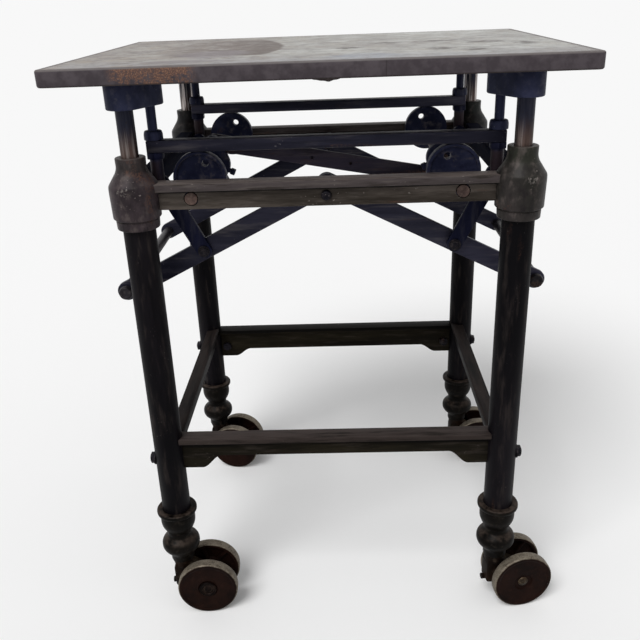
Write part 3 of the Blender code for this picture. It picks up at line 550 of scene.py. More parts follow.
# %% Finishes of the frame
UPPER_TOP, UPPER_FOOT = high("upper_side_rail_left").z, low("upper_side_rail_left").z
LOWER_TOP = {name: high(f"lower_rail_{name}").z for name in ENDS}
UPPER_FLANGE, LOWER_FLANGE = 0.0115, 0.009
UPPER_UNDER, LOWER_UNDER = UPPER_TOP - UPPER_FLANGE, LOWER_TOP["front"] - LOWER_FLANGE

PIPE = weathered("dark_pipe", (2, 1.7, 2.5), (8.9, 7.3, 9.3), (50, 40, 37), (37, 19.5, 15), 0.2, 0.5, 0.1,
                 stretch=ALONG_Z, specular=0.05)
# The front heads' shoulders get a painted highlight, with some bare metal in it.
HEAD = weathered("cast_head", (10.5, 7.8, 9.2), (53, 39, 44), (143, 117, 109), (86, 46, 35), 0.28, 0.44,
                 0.15, dust=(102, 86, 80), stretch=(1, 1, 0.6), tone=head_paint, painted_light_coat=head_shoulder_highlight_and_wear,
                 flecks=0.9, specular=0.12)
# The rails' webs carry a painted shadow right under the flange, deeper on the lower rails.
UPPER_RAIL = weathered("upper_rail", (22.5, 18, 14), (112, 93, 80), (143, 123, 110), (108, 54, 39), 0.26,
                       0.56, 0.1, dust=(151, 125, 113), stretch=ALONG_X,
                       tone=flange_tone(UPPER_UNDER, (0.068, 0.056, 0.056)),
                       painted_light_coat=flange_painted_shadow(UPPER_UNDER, 0.004, (0.005, 0.0044, 0.005)), grain=2.2)
SIDE_RAIL = weathered("side_rail", (2.1, 1.6, 1.7), (6.7, 5.1, 5.1), (38, 28.1, 25.5), (31, 15.4, 11.3),
                      0.22, 0.58, 0.1, dust=(25.2, 19, 17.3), stretch=ALONG_Y, specular=0.06)
UPPER_SIDE = weathered("upper_side_rail", (2.4, 3, 8.5), (6.2, 7.2, 18), (24, 22, 26), (16, 10, 9), 0.18,
                       0.9, 0.0, stretch=ALONG_Y, specular=0.03)
LOWER_RAIL = weathered("lower_rail", (4.2, 3.4, 2.2), (19, 15.3, 9), (58, 47, 40), (50, 26.2, 18.7), 0.2,
                       0.58, 0.1, dust=(55, 43, 40), stretch=ALONG_X,
                       tone=flange_tone(LOWER_UNDER, (0.036, 0.0275, 0.025)),
                       painted_light_coat=flange_painted_shadow(LOWER_UNDER, 0.0095, (0.0018, 0.0015, 0.0014)), specular=0.05,
                       grain=1.6)
FOOT = weathered("cast_foot", (1, 0.7, 0.5), (5, 3.7, 2.8), (44, 36, 29), (30, 15.5, 11), 0.14, 0.44,
                 0.15, dust=(58, 42, 34), flecks=0.2, specular=0.06)
FASTENER = weathered("old_bolt", (3.3, 3, 4.9), (9.4, 8.3, 13), (88, 74, 72), (48, 24, 18.9), 0.32, 0.46,
                     0.35, grain=2.0, flecks=0.8, specular=0.1)
print("finishes of the frame", len(bpy.data.materials))

# %% [markdown]
# Finishes of the moving gear
#
# The lifting gear was blacked rather than painted, so it reads blue-black. The guide rods are bare steel
# that the heads have rubbed: brown just above the neck, dark with old oil further up, and striped with
# painted reflections, faint above the neck and strong on the rear rods. The shafts end in a copper-brown
# disc where the rail's web has polished them.

# %% Finishes of the moving gear
CASTING = weathered("blue_black_casting", (16, 18.6, 40), (44, 49, 98), (105, 103, 128), (58, 43, 39),
                    0.12, 0.5, 0.2)
BAR = weathered("black_bar", (10.8, 11, 20.4), (38, 37, 59), (142, 130, 138), (81, 50, 43), 0.22, 0.46,
                0.25, stretch=ALONG_X, flecks=0.4)
STRUT = weathered("black_strut", (4, 4.7, 15.1), (10.1, 11.5, 32), (55, 53, 67), (30, 20.1, 20.2), 0.14,
                  0.46, 0.25, stretch=ALONG_Z, flecks=0.4, specular=0.05)
CAM = weathered("black_eccentric", (7.3, 8.8, 23.2), (23.8, 26.6, 57), (118, 104, 105), (58, 38, 32),
                0.16, 0.46, 0.25, flecks=0.6, edge=0.0024, specular=0.06)
LINK = weathered("brown_link", (14.3, 12.4, 19.3), (44, 37, 56), (110, 91, 94), (88, 46, 38), 0.34, 0.5,
                 0.2, stretch=ALONG_X, flecks=0.4, specular=0.06)
SHAFT = weathered("brown_shaft", (37, 24.6, 22.4), (113, 75, 64), (238, 183, 152), (90, 46, 36), 0.3, 0.5,
                  0.3, grain=2.6, flecks=0.4)
HANDLE = weathered("worn_handle", (9, 8, 9.5), (27, 24, 28.5), (120, 105, 98), (52, 30, 22), 0.24, 0.42,
                   0.4, stretch=ALONG_Y, flecks=0.6, specular=0.1)
LIFTER = weathered("black_lift_rod", (9.8, 11.6, 29), (28, 31.2, 66), (110, 103, 107), (72, 44, 35), 0.2,
                   0.48, 0.25, stretch=ALONG_Z, tone=sleeve_rust, flecks=0.4)


def rubbed_rod_with_painted_reflections(name):
    """A guide rod: oily dark above, brown where the neck rubs it, and thin streaks of painted reflection,
    faint in the rubbed band and strong on the rear rods.
    """
    finish = Finish(name, 0.12)
    mask, mix, noise = finish.mask, finish.mix, finish.noise
    _, depth, height = finish.axes()
    streak = noise(95, 4, 0.6, (1, 1, 0.1))
    shine = noise(190, 3, 0.6, (1, 1, 0.03), 19.0)
    spots = noise(240, 4, 0.6)
    rub = mask(height + (streak - 0.5) * 0.05, HEAD_TOP + 0.046, HEAD_TOP + 0.006)
    rear = mask(depth, -0.05, 0.05)
    brown = mix(mask(streak, 0.3, 0.7), (0.03, 0.019, 0.016), (0.118, 0.078, 0.064))
    # Thin vertical streaks of painted reflection: faint in the rubbed band, strong on the rear rods.
    colour = finish.layers(
        mix(mask(streak, 0.35, 0.65), (0.0075, 0.0088, 0.019), (0.025, 0.0255, 0.039)),
        (rub * 0.9, brown), (mask(shine, 0.5, 0.63) * (rub * 0.22 + rear * 0.97), (0.55, 0.5, 0.48)),
        (mask(spots, 0.6, 0.72) * 0.6, (0.02, 0.014, 0.012)))
    roughness = 0.42 + (streak - 0.5) * 0.3 + mask(spots, 0.6, 0.7) * 0.2
    return finish.wear(colour, roughness, 0.35 + rub * 0.3, streak * 0.6 + spots * 0.4, 0.25, 0.0004)


GUIDE = rubbed_rod_with_painted_reflections("rubbed_guide_rod_painted_reflections")
print("finishes so far", len(bpy.data.materials))

# %% [markdown]
# Legs
#
# Each leg is a length of pipe that runs from the caster socket up into its head. The guide rod slides in
# its bore, so the pipe is turned as a true tube. A hex bolt with a washer goes through it at the lower
# rail.

# %% Legs and their bolts
PIPE_RADIUS, PIPE_BORE = 0.02415, 0.02045
BOLT_DROP, BOLT_RADIUS, BOLT_TIP = 0.041, 0.0098, 0.0042
WASHER_RADIUS, WASHER_THICK = 0.0118, 0.003

for corner, (where, hand) in CORNERS.items():
    node, side = f"leg_tube_{corner}", SIDES[hand]
    foot, top = low(node).z, high(node).z
    tube = turned([(PIPE_RADIUS, top, 0.0008), (PIPE_RADIUS, foot, 0.0008), (PIPE_BORE, foot),
                   (PIPE_BORE, top)], 72)
    piece(f"leg_pipe_{corner}", stood(tube, (*LEG[corner].xy, 0)), PIPE, node)
    seat = LEG[corner] + Vector((side * (PIPE_RADIUS - 0.0012), 0, 0))
    seat.z = LOWER_TOP[where] - BOLT_DROP
    bolt = on_washer(hex_head(BOLT_RADIUS, 0.0058, BOLT_TIP), WASHER_THICK, WASHER_RADIUS, WASHER_THICK, 40)
    piece(f"leg_bolt_{corner}", stood(bolt, seat, (side, 0, 0)), FASTENER, node)
tally("legs")

# %% [markdown]
# Leg heads
#
# A head is an iron casting that caps the pipe: a plain neck round the guide rod, a bell shoulder, a
# barrel that draws in a little towards its foot, and a narrower collar under a groove. It is round, so it
# is turned, and the softening radius of each profile corner gives the cast look without a subdivision
# surface.

# %% Leg heads
ROD_BORE, TUBE_BORE = 0.013, 0.02445
BARREL_TOP, BARREL_FOOT, HEAD_FOOT = HEAD_TOP - 0.042, HEAD_TOP - 0.088, low("head_frame_front").z
head_profile = [
    (0.022, HEAD_TOP, 0.0014), (0.0216, HEAD_TOP - 0.0175, 0.006), (0.0362, HEAD_TOP - 0.04, 0.0022),
    (0.0365, BARREL_TOP - 0.005, 0.001), (0.0353, BARREL_FOOT, 0.0016),
    (0.0306, BARREL_FOOT - 0.0004, 0.0007), (0.0306, BARREL_FOOT - 0.0028, 0.0007),
    (0.0319, BARREL_FOOT - 0.003, 0.0009), (0.0313, HEAD_FOOT, 0.0014), (TUBE_BORE, HEAD_FOOT, 0.0006),
    (TUBE_BORE, BARREL_TOP), (ROD_BORE, BARREL_TOP), (ROD_BORE, HEAD_TOP, 0.0012)]
for corner, (where, _) in CORNERS.items():
    head = stood(turned(head_profile, 80), (*LEG[corner].xy, 0))
    piece(f"leg_head_{corner}", head, HEAD, f"head_frame_{where}")
tally("leg heads")

# %% [markdown]
# Upper rails
#
# The rails between the heads are T sections, with a fillet where the flange meets the web. The front and
# rear ones carry the shafts and, in the middle, the bolt that both levers turn on. A rail is an outline
# of eight corners pushed along its length, with the inner corners filleted and the outer ones eased.

# %% Upper rails and pivots
END_HALF, SIDE_HALF, HALF_WEB = 0.015, 0.012, 0.005
RAIL_EASE, RAIL_FILLET = 0.0012, 0.002
HALF_SPAN = LEG["front_right"].x - MIDDLE_X
RAIL_REACH = HALF_SPAN - PIPE_RADIUS - 0.004
BARREL_SEAT, SHAFT_SEAT = 0.0345, 0.0108
STRAP, STRAP_PITCH = 0.008, 0.0085
PIN_HEAD, PIN_RADIUS = 0.01, 0.0063


def tee(centre, top, foot, flange, thick):
    """The outline of a T section."""
    half = [(flange, top), (flange, top - thick), (HALF_WEB, top - thick), (HALF_WEB, foot)]
    return [(centre + a, b) for a, b in half] + [(centre - a, b) for a, b in reversed(half)]


for name, end in ENDS.items():
    node, y, outwards = f"head_frame_{name}", LEG[f"{name}_left"].y, (0, end, 0)
    rail = pushed(tee(y, UPPER_TOP, UPPER_FOOT, END_HALF, UPPER_FLANGE), "X",
                  MIDDLE_X - RAIL_REACH, MIDDLE_X + RAIL_REACH, RAIL_EASE, RAIL_FILLET)
    shafts = [AXIS[f"rocker_{hand}_turn"] for hand in SIDES]
    bearings = [bit(SHAFT_SEAT, 0.04, 48, (shaft.x, y - 0.02, shaft.z), TO_REAR) for shaft in shafts]
    piece(f"upper_rail_{name}", drilled(rail, *bearings), UPPER_RAIL, node)
    cap = turned([(0, 0.0062), (0.0062, 0.0058, 0.003), (0.0078, 0.0022, 0.0014), (0.0078, -0.002),
                  (0, -0.002)], 40)
    seat = (MIDDLE_X, end * (abs(y) + HALF_WEB), PIVOT_Z)
    piece(f"pivot_head_{name}", stood(cap, seat, outwards), FASTENER, node)
    inner = faces_y(f"lever_bar_{name}_left")[0]
    step, tip = inner + STRAP + PLAY, inner - STRAP_PITCH - PLAY
    pin = turned([(0, abs(y)), (PIN_HEAD, abs(y)), (PIN_HEAD, step, 0.0008), (PIN_RADIUS, step),
                  (PIN_RADIUS, tip), (0, tip)], 40)
    piece(f"pivot_pin_{name}", stood(pin, (MIDDLE_X, 0, PIVOT_Z), outwards), FASTENER, node)
    seat = (MIDDLE_X, end * (inner - STRAP_PITCH - 0.0004), PIVOT_Z)
    piece(f"pivot_nut_{name}", stood(hex_head(0.011, 0.0078, 0.0055), seat, (0, -end, 0)), FASTENER, node)
for name in SIDES:
    reach = LEG[f"rear_{name}"].y - BARREL_SEAT
    section = tee(LEG[f"front_{name}"].x, UPPER_TOP, UPPER_FOOT, SIDE_HALF, UPPER_FLANGE)
    rail = pushed(section, "Y", -reach, reach, RAIL_EASE, RAIL_FILLET)
    piece(f"upper_side_tee_{name}", rail, UPPER_SIDE, f"upper_side_rail_{name}")
tally("upper rails")

# %% [markdown]
# Lower rails
#
# The stretchers near the floor are the same T, but the webs of the front and rear ones sweep down into
# deep lugs where the leg bolts hold them. The web is an outline with that sweep, pushed through the web's
# thickness, and the flange is a bar laid on it. Two bolts in each web face inwards.

# %% Lower rails
WEB_HEIGHT = {"front": 0.0365, "rear": 0.049}
LUG_LENGTH, LUG_SWEEP, SWEEP_STEPS = 0.055, 0.034, 14
WEB_BOLT_INSET = 0.037
STRETCH = HALF_SPAN - 0.0206


def haunched_web(name):
    """The front outline of a lower rail's web, with its two lugs."""
    top, foot, lug = LOWER_TOP[name], LOWER_TOP[name] - WEB_HEIGHT[name], low(f"lower_rail_{name}").z
    sweep = [(HALF_SPAN - LUG_LENGTH - LUG_SWEEP * t / SWEEP_STEPS,
              foot - (foot - lug) * (1 + cos(pi * t / SWEEP_STEPS)) / 2) for t in range(SWEEP_STEPS + 1)]
    half = [(STRETCH, top - LOWER_FLANGE / 2), (STRETCH, lug), *sweep]
    return [(MIDDLE_X - a, b) for a, b in half] + [(MIDDLE_X + a, b) for a, b in reversed(half)]


for name, end in ENDS.items():
    node, y, top = f"lower_rail_{name}", LEG[f"{name}_left"].y, LOWER_TOP[name]
    web = pushed(haunched_web(name), "Y", y - HALF_WEB, y + HALF_WEB, 0.0008)
    piece(f"lower_web_{name}", web, LOWER_RAIL, node)
    flange = block((MIDDLE_X - STRETCH, y - END_HALF, top - LOWER_FLANGE),
                   (MIDDLE_X + STRETCH, y + END_HALF, top), RAIL_EASE)
    piece(f"lower_flange_{name}", flange, LOWER_RAIL, node)
    for hand, side in SIDES.items():
        seat = (MIDDLE_X + side * (HALF_SPAN - WEB_BOLT_INSET), y - end * (HALF_WEB - 0.0008),
                top - BOLT_DROP)
        bolt = stood(hex_head(BOLT_RADIUS, 0.0075, BOLT_TIP), seat, (0, -end, 0))
        piece(f"web_bolt_{name}_{hand}", bolt, FASTENER, node)
for name in SIDES:
    node = f"lower_rail_{name}"
    section = tee(middle(node).x, high(node).z, low(node).z, SIDE_HALF, LOWER_FLANGE)
    rail = pushed(section, "Y", low(node).y, high(node).y, 0.0009, 0.0022)
    seats = [bit(PIPE_RADIUS + PLAY, 0.12, 64, (*LEG[f"{where}_{name}"].xy, low(node).z - 0.04))
             for where in ENDS]
    piece(f"lower_side_tee_{name}", drilled(rail, *seats), SIDE_RAIL, node)
tally("lower rails")

# %% [markdown]
# Feet
#
# Under each pipe sits a turned socket: a rolled flange, a cup, a narrow waist and a round bulb that ends
# in the caster's neck. It is one profile with generous softening, so that it reads as a casting that has
# been turned.

# %% Feet
FOOT_TOP, FOOT_LOW = high("foot_socket_front_left").z, low("foot_socket_front_left").z
CUP_TOP, BULB_TOP, CUP_FLOOR = FOOT_TOP - 0.009, FOOT_TOP - 0.051, FOOT_TOP - 0.0283
STEM_BORE = 0.0083
foot_profile = [
    (0.0345, FOOT_TOP, 0.0032), (0.0345, CUP_TOP, 0.0034), (0.0284, CUP_TOP - 0.0003, 0.001),
    (0.0304, CUP_TOP - 0.013, 0.007), (0.0288, CUP_TOP - 0.026, 0.006), (0.0206, CUP_TOP - 0.0395, 0.0045),
    (0.0206, BULB_TOP - 0.006, 0.003), (0.0316, BULB_TOP - 0.015, 0.005), (0.0335, BULB_TOP - 0.024, 0.007),
    (0.0318, BULB_TOP - 0.0335, 0.006), (0.02, BULB_TOP - 0.045, 0.004), (0.02, FOOT_LOW, 0.001),
    (STEM_BORE, FOOT_LOW), (STEM_BORE, CUP_FLOOR), (TUBE_BORE, CUP_FLOOR), (TUBE_BORE, FOOT_TOP, 0.0006)]
for corner in CORNERS:
    socket = stood(turned(foot_profile, 72), (*LEG[corner].xy, 0))
    piece(f"caster_socket_{corner}", socket, FOOT, f"foot_socket_{corner}")
tally("feet")

# %% [markdown]
# Plate top
#
# The top is a thick plate of iron with eased edges and one old repair: a seam across its front edge and a
# lump of weld under it. Its face is bare, grey and stained: clouds of dirt that are heavier on the left,
# a brown stain left of the middle, a bluish sheen near the front, dark marks on the right and a darker
# rim all round. Each of those is a soft mask on the plate's own place, laid over the grey as a coat.

# %% Plate face
TOP_LOW, TOP_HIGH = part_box("table_top")
HALF_X, HALF_Y = (TOP_HIGH.x - TOP_LOW.x) / 2, (TOP_HIGH.y - TOP_LOW.y) / 2
# Each dark mark is a place, from the pivots' axis and the middle plane, and two half sizes.
FACE_MARKS = [(0.215, -0.19, 0.0225, 0.0325), (0.172, -0.15, 0.025, 0.0275), (0.305, -0.095, 0.0225, 0.045),
              (0.1, 0.0, 0.0325, 0.0225), (0.185, 0.01, 0.05625, 0.0175), (0.25, -0.045, 0.0375, 0.03),
              (0.035, -0.085, 0.025, 0.03)]
# Each layer of dirt has the shift and scale of its noise, a share and a tint.
MOTTLING = [(51.0, 13, 0.6, (0.215, 0.19, 0.186)), (53.0, 22, 0.6, (0.17, 0.156, 0.156)),
            (57.0, 30, 0.5, (0.28, 0.225, 0.17)), (59.0, 48, 0.6, (0.12, 0.105, 0.1))]


def stained_face(finish, across, depth, slow, brush):
    """The colour of the upper face, without its rim."""
    mask, noise = finish.mask, finish.noise

    def blot(at_x, at_y, wide, deep, ragged=0.35, scale=16, soft=0.65):
        """A soft ragged patch, 1 in its middle."""
        run = noise(scale, 5, 0.6, None, at_x * 40) - 0.5
        a = (across - at_x) * (1 / wide)
        b = (depth - at_y) * (1 / deep)
        return mask(a * a + b * b + run * ragged * 4, 1.1, 1.1 - soft)

    dirty = mask(across, 0.1, -0.25) * 0.4 + 0.62
    clouds = [(mask(noise(scale, 6, 0.72, None, shift), 0.46, 0.66) * dirty * share, tint)
              for shift, scale, share, tint in MOTTLING]
    ragged = noise(17, 6, 0.65, None, 2.0) - 0.5
    bow = depth + 0.02
    reach = across + bow * bow * 1.05 + ragged * 0.012
    stain = mask(reach, -0.063, -0.072) * mask(across + ragged * 0.16, -0.285, -0.19)
    stain = stain * mask(depth + ragged * 0.05, -0.165, -0.145) * mask(depth + ragged * 0.08, 0.225, 0.165)
    thin = mask(noise(34, 5, 0.65, None, 8.0), 0.62, 0.44)
    marks = [(blot(*mark, 0.9, 60, 1.5) * 0.9, (0.08, 0.068, 0.062)) for mark in FACE_MARKS]
    streaks = mask(noise(60, 5, 0.65, (0.7, 1.5, 1), 21.0), 0.62, 0.74) * mask(across, -0.08, 0.05)
    return finish.layers(
        finish.mix(mask(slow, 0.34, 0.68), (0.37, 0.362, 0.345), (0.5, 0.505, 0.485)),
        (mask(across, 0.05, -0.3) * 0.7, (0.29, 0.262, 0.24)),
        (mask(depth, -0.16, -0.28) * 0.45, (0.31, 0.315, 0.35)),
        (mask(brush, 0.48, 0.75) * 0.4, (0.25, 0.235, 0.22)),
        *clouds,
        (stain * (0.35 + thin * 0.6), (0.135, 0.108, 0.096)),
        (stain * mask(reach, -0.15, -0.09) * 0.65, (0.11, 0.09, 0.08)),
        (blot(-0.165, -0.12, 0.06, 0.08) * 0.55, (0.195, 0.175, 0.19)),
        (blot(-0.19, -0.235, 0.07, 0.03) * 0.55, (0.205, 0.185, 0.195)),
        (blot(0.065, -0.24, 0.065, 0.06, 0.7, 30, 1.6) * 0.65, (0.2, 0.22, 0.28)),
        *marks,
        (streaks * 0.6, (0.125, 0.108, 0.1)))


# %% Plate edge and the whole plate finish
SEAM_X = 0.0835


def rusty_edge(finish, across, depth, height, fast):
    """The colour of the plate's edge, freckled with rust at the front left, and where its seam runs."""
    mask, noise = finish.mask, finish.noise
    freckle, grain = noise(150, 5, 0.7, None, 31.0), noise(520, 4, 0.75, None, 33.0)
    front = mask(depth, -HALF_Y + 0.012, -HALF_Y + 0.004)
    rusty = front * (mask(across, -0.285, -0.262) * mask(across, -0.16, -0.18))
    rusty = rusty * mask(freckle + mask(height, TOP_LOW.z, TOP_HIGH.z) * 0.12, 0.44, 0.6)
    brown = mask(noise(24, 5, 0.6, None, 41.0), 0.6, 0.72) * mask(grain, 0.5, 0.62)
    seam = front * mask(finish.size(across - SEAM_X + (fast - 0.5) * 0.002), 0.0011, 0.0004)
    return finish.layers(
        finish.mix(mask(fast, 0.36, 0.66), (0.054, 0.044, 0.05), (0.086, 0.072, 0.08)),
        (rusty * 0.85, (0.12, 0.068, 0.053)),
        (rusty * mask(grain, 0.49, 0.58) * 0.85, (0.27, 0.14, 0.088)),
        (rusty * mask(grain, 0.62, 0.68) * 0.7, (0.42, 0.29, 0.21)),
        (brown * 0.5, (0.125, 0.085, 0.072)),
        (seam * 0.5, (0.026, 0.021, 0.022))), seam


def worn_plate(name):
    """Face and rim on top, edges round it, a dark underside and rubbed corners."""
    finish = Finish(name, 0.14)
    mask, noise = finish.mask, finish.noise
    x, depth, height = finish.axes()
    across = x - MIDDLE_X
    slow, fast = noise(7, 6, 0.62), noise(60, 5, 0.6, None, 3.0)
    brush = noise(42, 5, 0.65, (0.25, 1.6, 1), 9.0)
    grit = noise(600, 3, 0.5, None, 5.0)
    rim_x, rim_y = [mask(finish.size(off) + (fast - 0.5) * 0.006, half - 0.013, half - 0.007)
                    for off, half in ((x - middle("table_top").x, HALF_X), (depth, HALF_Y))]
    rim = rim_x + rim_y - rim_x * rim_y
    face = finish.mix(rim * 0.85, stained_face(finish, across, depth, slow, brush), (0.112, 0.096, 0.095))
    side, seam = rusty_edge(finish, across, depth, height, fast)
    top = mask(height, TOP_HIGH.z - 0.003, TOP_HIGH.z - 0.001)
    under = mask(height, TOP_LOW.z + 0.0022, TOP_LOW.z + 0.0008)
    rubbed = finish.edges(0.003) * mask(noise(50, 4, 0.6, None, 13.0), 0.42, 0.64)
    colour = finish.layers(side, (top, face), (under * 0.85, (0.04, 0.03, 0.028)),
                           (rubbed * 0.45, (0.3, 0.28, 0.27)))
    roughness = 0.56 + (fast - 0.5) * 0.25 + (brush - 0.5) * 0.2
    bumps = slow * 0.3 + fast * 0.5 + brush * 0.3 + grit * 0.25 - seam
    return finish.wear(colour, roughness, 0.06, bumps, 0.3, 0.0009)


PLATE = worn_plate("worn_plate_top")
print("plate finish nodes", len(PLATE.tree.nodes))

# %% Plate and its weld
CORNER_ROUND, EDGE_EASE = 0.01, 0.003
WELD_X, WELD_Y, WELD_Z = 0.02, 0.0075, 0.0042

plate = bmesh.new()
bmesh.ops.create_cube(plate, size=1)
bmesh.ops.scale(plate, vec=TOP_HIGH - TOP_LOW, verts=plate.verts)
bmesh.ops.translate(plate, vec=(TOP_HIGH + TOP_LOW) / 2, verts=plate.verts)
upright = [edge for edge in plate.edges if abs(edge.verts[0].co.z - edge.verts[1].co.z) > 0.01]
softened(plate, upright, CORNER_ROUND, 6)
softened(plate, sharp_edges(plate, CORNER), EDGE_EASE, 4)
piece("plate_top", plate, PLATE, "table_top")

lump = bmesh.new()
bmesh.ops.create_icosphere(lump, subdivisions=4, radius=1)
for point in lump.verts:
    x, y, z = point.co
    wave = 1 + 0.16 * sin(5 * x + 1) + 0.1 * sin(11 * x)
    point.co = (WELD_X * x, WELD_Y * y * wave, WELD_Z * z * wave)
bmesh.ops.translate(lump, vec=(MIDDLE_X + 0.006, TOP_LOW.y + 0.01, TOP_LOW.z + 0.0008), verts=lump.verts)
piece("weld_lump", closed(lump), PLATE, "table_top")
tally("plate")

# %% [markdown]
# Corner castings and rods
#
# A casting under each corner holds two rods: the thick guide rod that slides in the leg, and the thinner
# lift rod that the strut pushes. In plan it is a belt round two circles, which a hull of four circles
# gives at once. The lift rod carries a collar above the lifting rail and a nut and a sleeve below it.

# %% Corner castings and guide rods
LEG_BOSS, LIFT_BOSS, GUIDE_RADIUS = 0.0245, 0.02, 0.0127

for corner in CORNERS:
    node = f"corner_casting_{corner}"
    circles = [(LEG[corner].xy, LEG_BOSS), (LIFT[corner].xy, LIFT_BOSS)]
    belt = hulled(circles, low(node).z, high(node).z, 0.0022, True, 64)
    piece(f"corner_block_{corner}", belt, CASTING, node)
    node = f"guide_rod_{corner}"
    bar = rod(GUIDE_RADIUS, high(node).z - low(node).z, 0.0012, 56)
    piece(f"guide_bar_{corner}", stood(bar, (*LEG[corner].xy, low(node).z)), GUIDE, node)
tally("castings and guide rods")

# %% Lift rods and lifting rails
PIN_RISE = 0.014
LIFT_RADIUS, COLLAR_RADIUS, SLEEVE_RADIUS = 0.00715, 0.014, 0.0095

for corner, (where, _) in CORNERS.items():
    node, rail, end = f"lift_rod_{corner}", f"lifting_rail_{where}", ENDS[where]
    foot, top, spot = low(node).z, high(node).z, LIFT[corner]
    sleeve, collar = low(rail).z - PLAY, high(rail).z + PLAY
    profile = [(0, top), (LIFT_RADIUS, top), (LIFT_RADIUS, collar + 0.0135, 0.0012),
               (0.0125, collar + 0.0135, 0.0014), (COLLAR_RADIUS, collar + 0.009, 0.0022),
               (COLLAR_RADIUS, collar, 0.0012), (LIFT_RADIUS, collar), (LIFT_RADIUS, sleeve),
               (SLEEVE_RADIUS, sleeve), (SLEEVE_RADIUS, foot, 0.001), (0, foot)]
    piece(f"lift_bar_{corner}", stood(turned(profile, 48), (*spot.xy, 0)), LIFTER, node)
    nut = stood(hex_head(0.0135, 0.0098), (*spot.xy, low(rail).z - 0.0101))
    piece(f"lift_nut_{corner}", nut, STRUT, node)
    inner = faces_y(node)[0]
    pin = rod(0.004, abs(spot.y) - inner, 0.0006, 24)
    stood(pin, (spot.x, end * inner, foot + PIN_RISE), (0, end, 0))
    piece(f"cross_pin_{corner}", pin, FASTENER, node)
for name in ENDS:
    node = f"lifting_rail_{name}"
    piece(f"lifting_bar_{name}", block(low(node), high(node), 0.001), BAR, node)
tally("lift rods and rails")

# %% [markdown]
# Levers and struts
#
# Two long levers cross at the middle pivots and slope down to a handle rod at each side. Struts stand on
# the lever pins and push the lift rods up. All are flat steel with round ends, so each is a hull of two
# circles. The pins show as nuts on washers, and the handle rods end in turned knobs.

# %% Levers, handles and struts
LEVER_HALF, STRUT_FOOT, STRUT_HEAD, STRAP_EASE = 0.0155, 0.012, 0.013, 0.0008

for name in SIDES:
    pivot, pin, tip = AXIS[f"lever_{name}_pivot"], AXIS[f"struts_{name}_pivot"], middle(f"handle_rod_{name}")
    for where, end in ENDS.items():
        corner, outwards = f"{where}_{name}", (0, end, 0)
        node, strut = f"lever_bar_{corner}", f"strut_{corner}"
        inner, outer = faces_y(node)[0], faces_y(strut)[1]
        levels = sorted((end * inner, end * (inner + STRAP)))
        bar = hulled([(pivot.xz, LEVER_HALF), (tip.xz, LEVER_HALF)], *levels, STRAP_EASE)
        piece(f"lever_strap_{corner}", bar, BAR, node)
        nut = on_washer(hex_head(0.0076, 0.0035, BOLT_TIP), 0.0023, 0.0095, 0.0024, 36)
        stood(nut, (pin.x, end * (outer + PLAY), pin.z), outwards)
        piece(f"lever_nut_{corner}", nut, FASTENER, node)
        shank = stood(rod(0.005, outer - inner, 0.0004, 24), (pin.x, end * (inner + 0.001), pin.z), outwards)
        piece(f"lever_pin_{corner}", shank, FASTENER, node)
        head = (LIFT[corner].x, low(f"lift_rod_{corner}").z + PIN_RISE)
        strap = hulled([(pin.xz, STRUT_FOOT), (head, STRUT_HEAD)], low(strut).y, high(strut).y, STRAP_EASE)
        piece(f"strut_strap_{corner}", strap, STRUT, strut)
    node = f"handle_rod_{name}"
    far = high(node).y
    half = [(0, far - 0.0012), (0.005, far - 0.0008, 0.0006), (0.0062, far, 0.0006), (0.0098, far, 0.0022),
            (0.0115, far - 0.004, 0.003), (0.0115, far - 0.0095, 0.002), (0.0098, far - 0.0117, 0.0008),
            (0.0068, far - 0.0117), (0.0068, far - 0.0205), (0.0095, far - 0.0206, 0.001)]
    handle = turned(both_ends(half), 48)
    piece(f"handle_bar_{name}", stood(handle, (tip.x, 0, tip.z), TO_REAR), HANDLE, node)
tally("levers and struts")

# %% [markdown]
# Shafts, eccentrics and the link
#
# Two shafts run from front to rear. Each carries a crank in the middle and an eccentric disc near each
# end, and a link joins the cranks so that the shafts turn against each other. An eccentric is a rimmed
# disc, hollow on its outer face round an off-centre hub, with one hole through it. The rim is turned, the
# hub is joined on, and the hole is drilled by a Boolean.

# %% Shafts and cranks
link_left = AXIS["sync_link_pin"]
CRANK_REACH = link_left.z - AXIS["rocker_left_turn"].z
CRANK_HALF, CRANK_HUB, CRANK_TIP = 0.008, 0.0275, 0.014
SCREW_LEAN, SCREW_REACH = radians(24), 0.0272
stud_profile = [(0, 0.004), (0.0062, 0.0038, 0.0012), (0.0085, 0.0018, 0.001), (0.0085, 0, 0.0004),
                (0.005, 0), (0.005, -0.012), (0, -0.012)]

for name, side in SIDES.items():
    axle, node = AXIS[f"rocker_{name}_turn"], f"rocker_shaft_{name}"
    reach = high(node).y
    half = [(0, reach - 0.001), (0.0018, reach - 0.0004, 0.0004), (0.0095, reach, 0.0012)]
    piece(f"rocker_bar_{name}", stood(turned(both_ends(half), 48), axle, TO_REAR), SHAFT, node)
    pin = (axle.x, axle.z - side * CRANK_REACH)
    arm = hulled([(axle.xz, CRANK_HUB), (pin, CRANK_TIP)], -CRANK_HALF, CRANK_HALF, 0.0014)
    piece(f"crank_{name}", arm, CAM, node)
    stud = stood(turned(stud_profile, 36), (pin[0], high("sync_link").y + PLAY, pin[1]), TO_REAR)
    piece(f"crank_stud_{name}", stud, CAM, node)
    lean = -SCREW_LEAN if side < 0 else pi + SCREW_LEAN
    aim = Vector((cos(lean), 0, sin(lean)))
    square = stood(block((-0.005, -0.005, 0), (0.005, 0.005, 0.0085), 0.0012), (0, 0, 0.0025))
    screw = gathered(rod(0.0042, 0.006, 0.0004, 24), square)
    piece(f"set_screw_{name}", stood(screw, axle + aim * SCREW_REACH, aim), CAM, node)
tally("shafts")

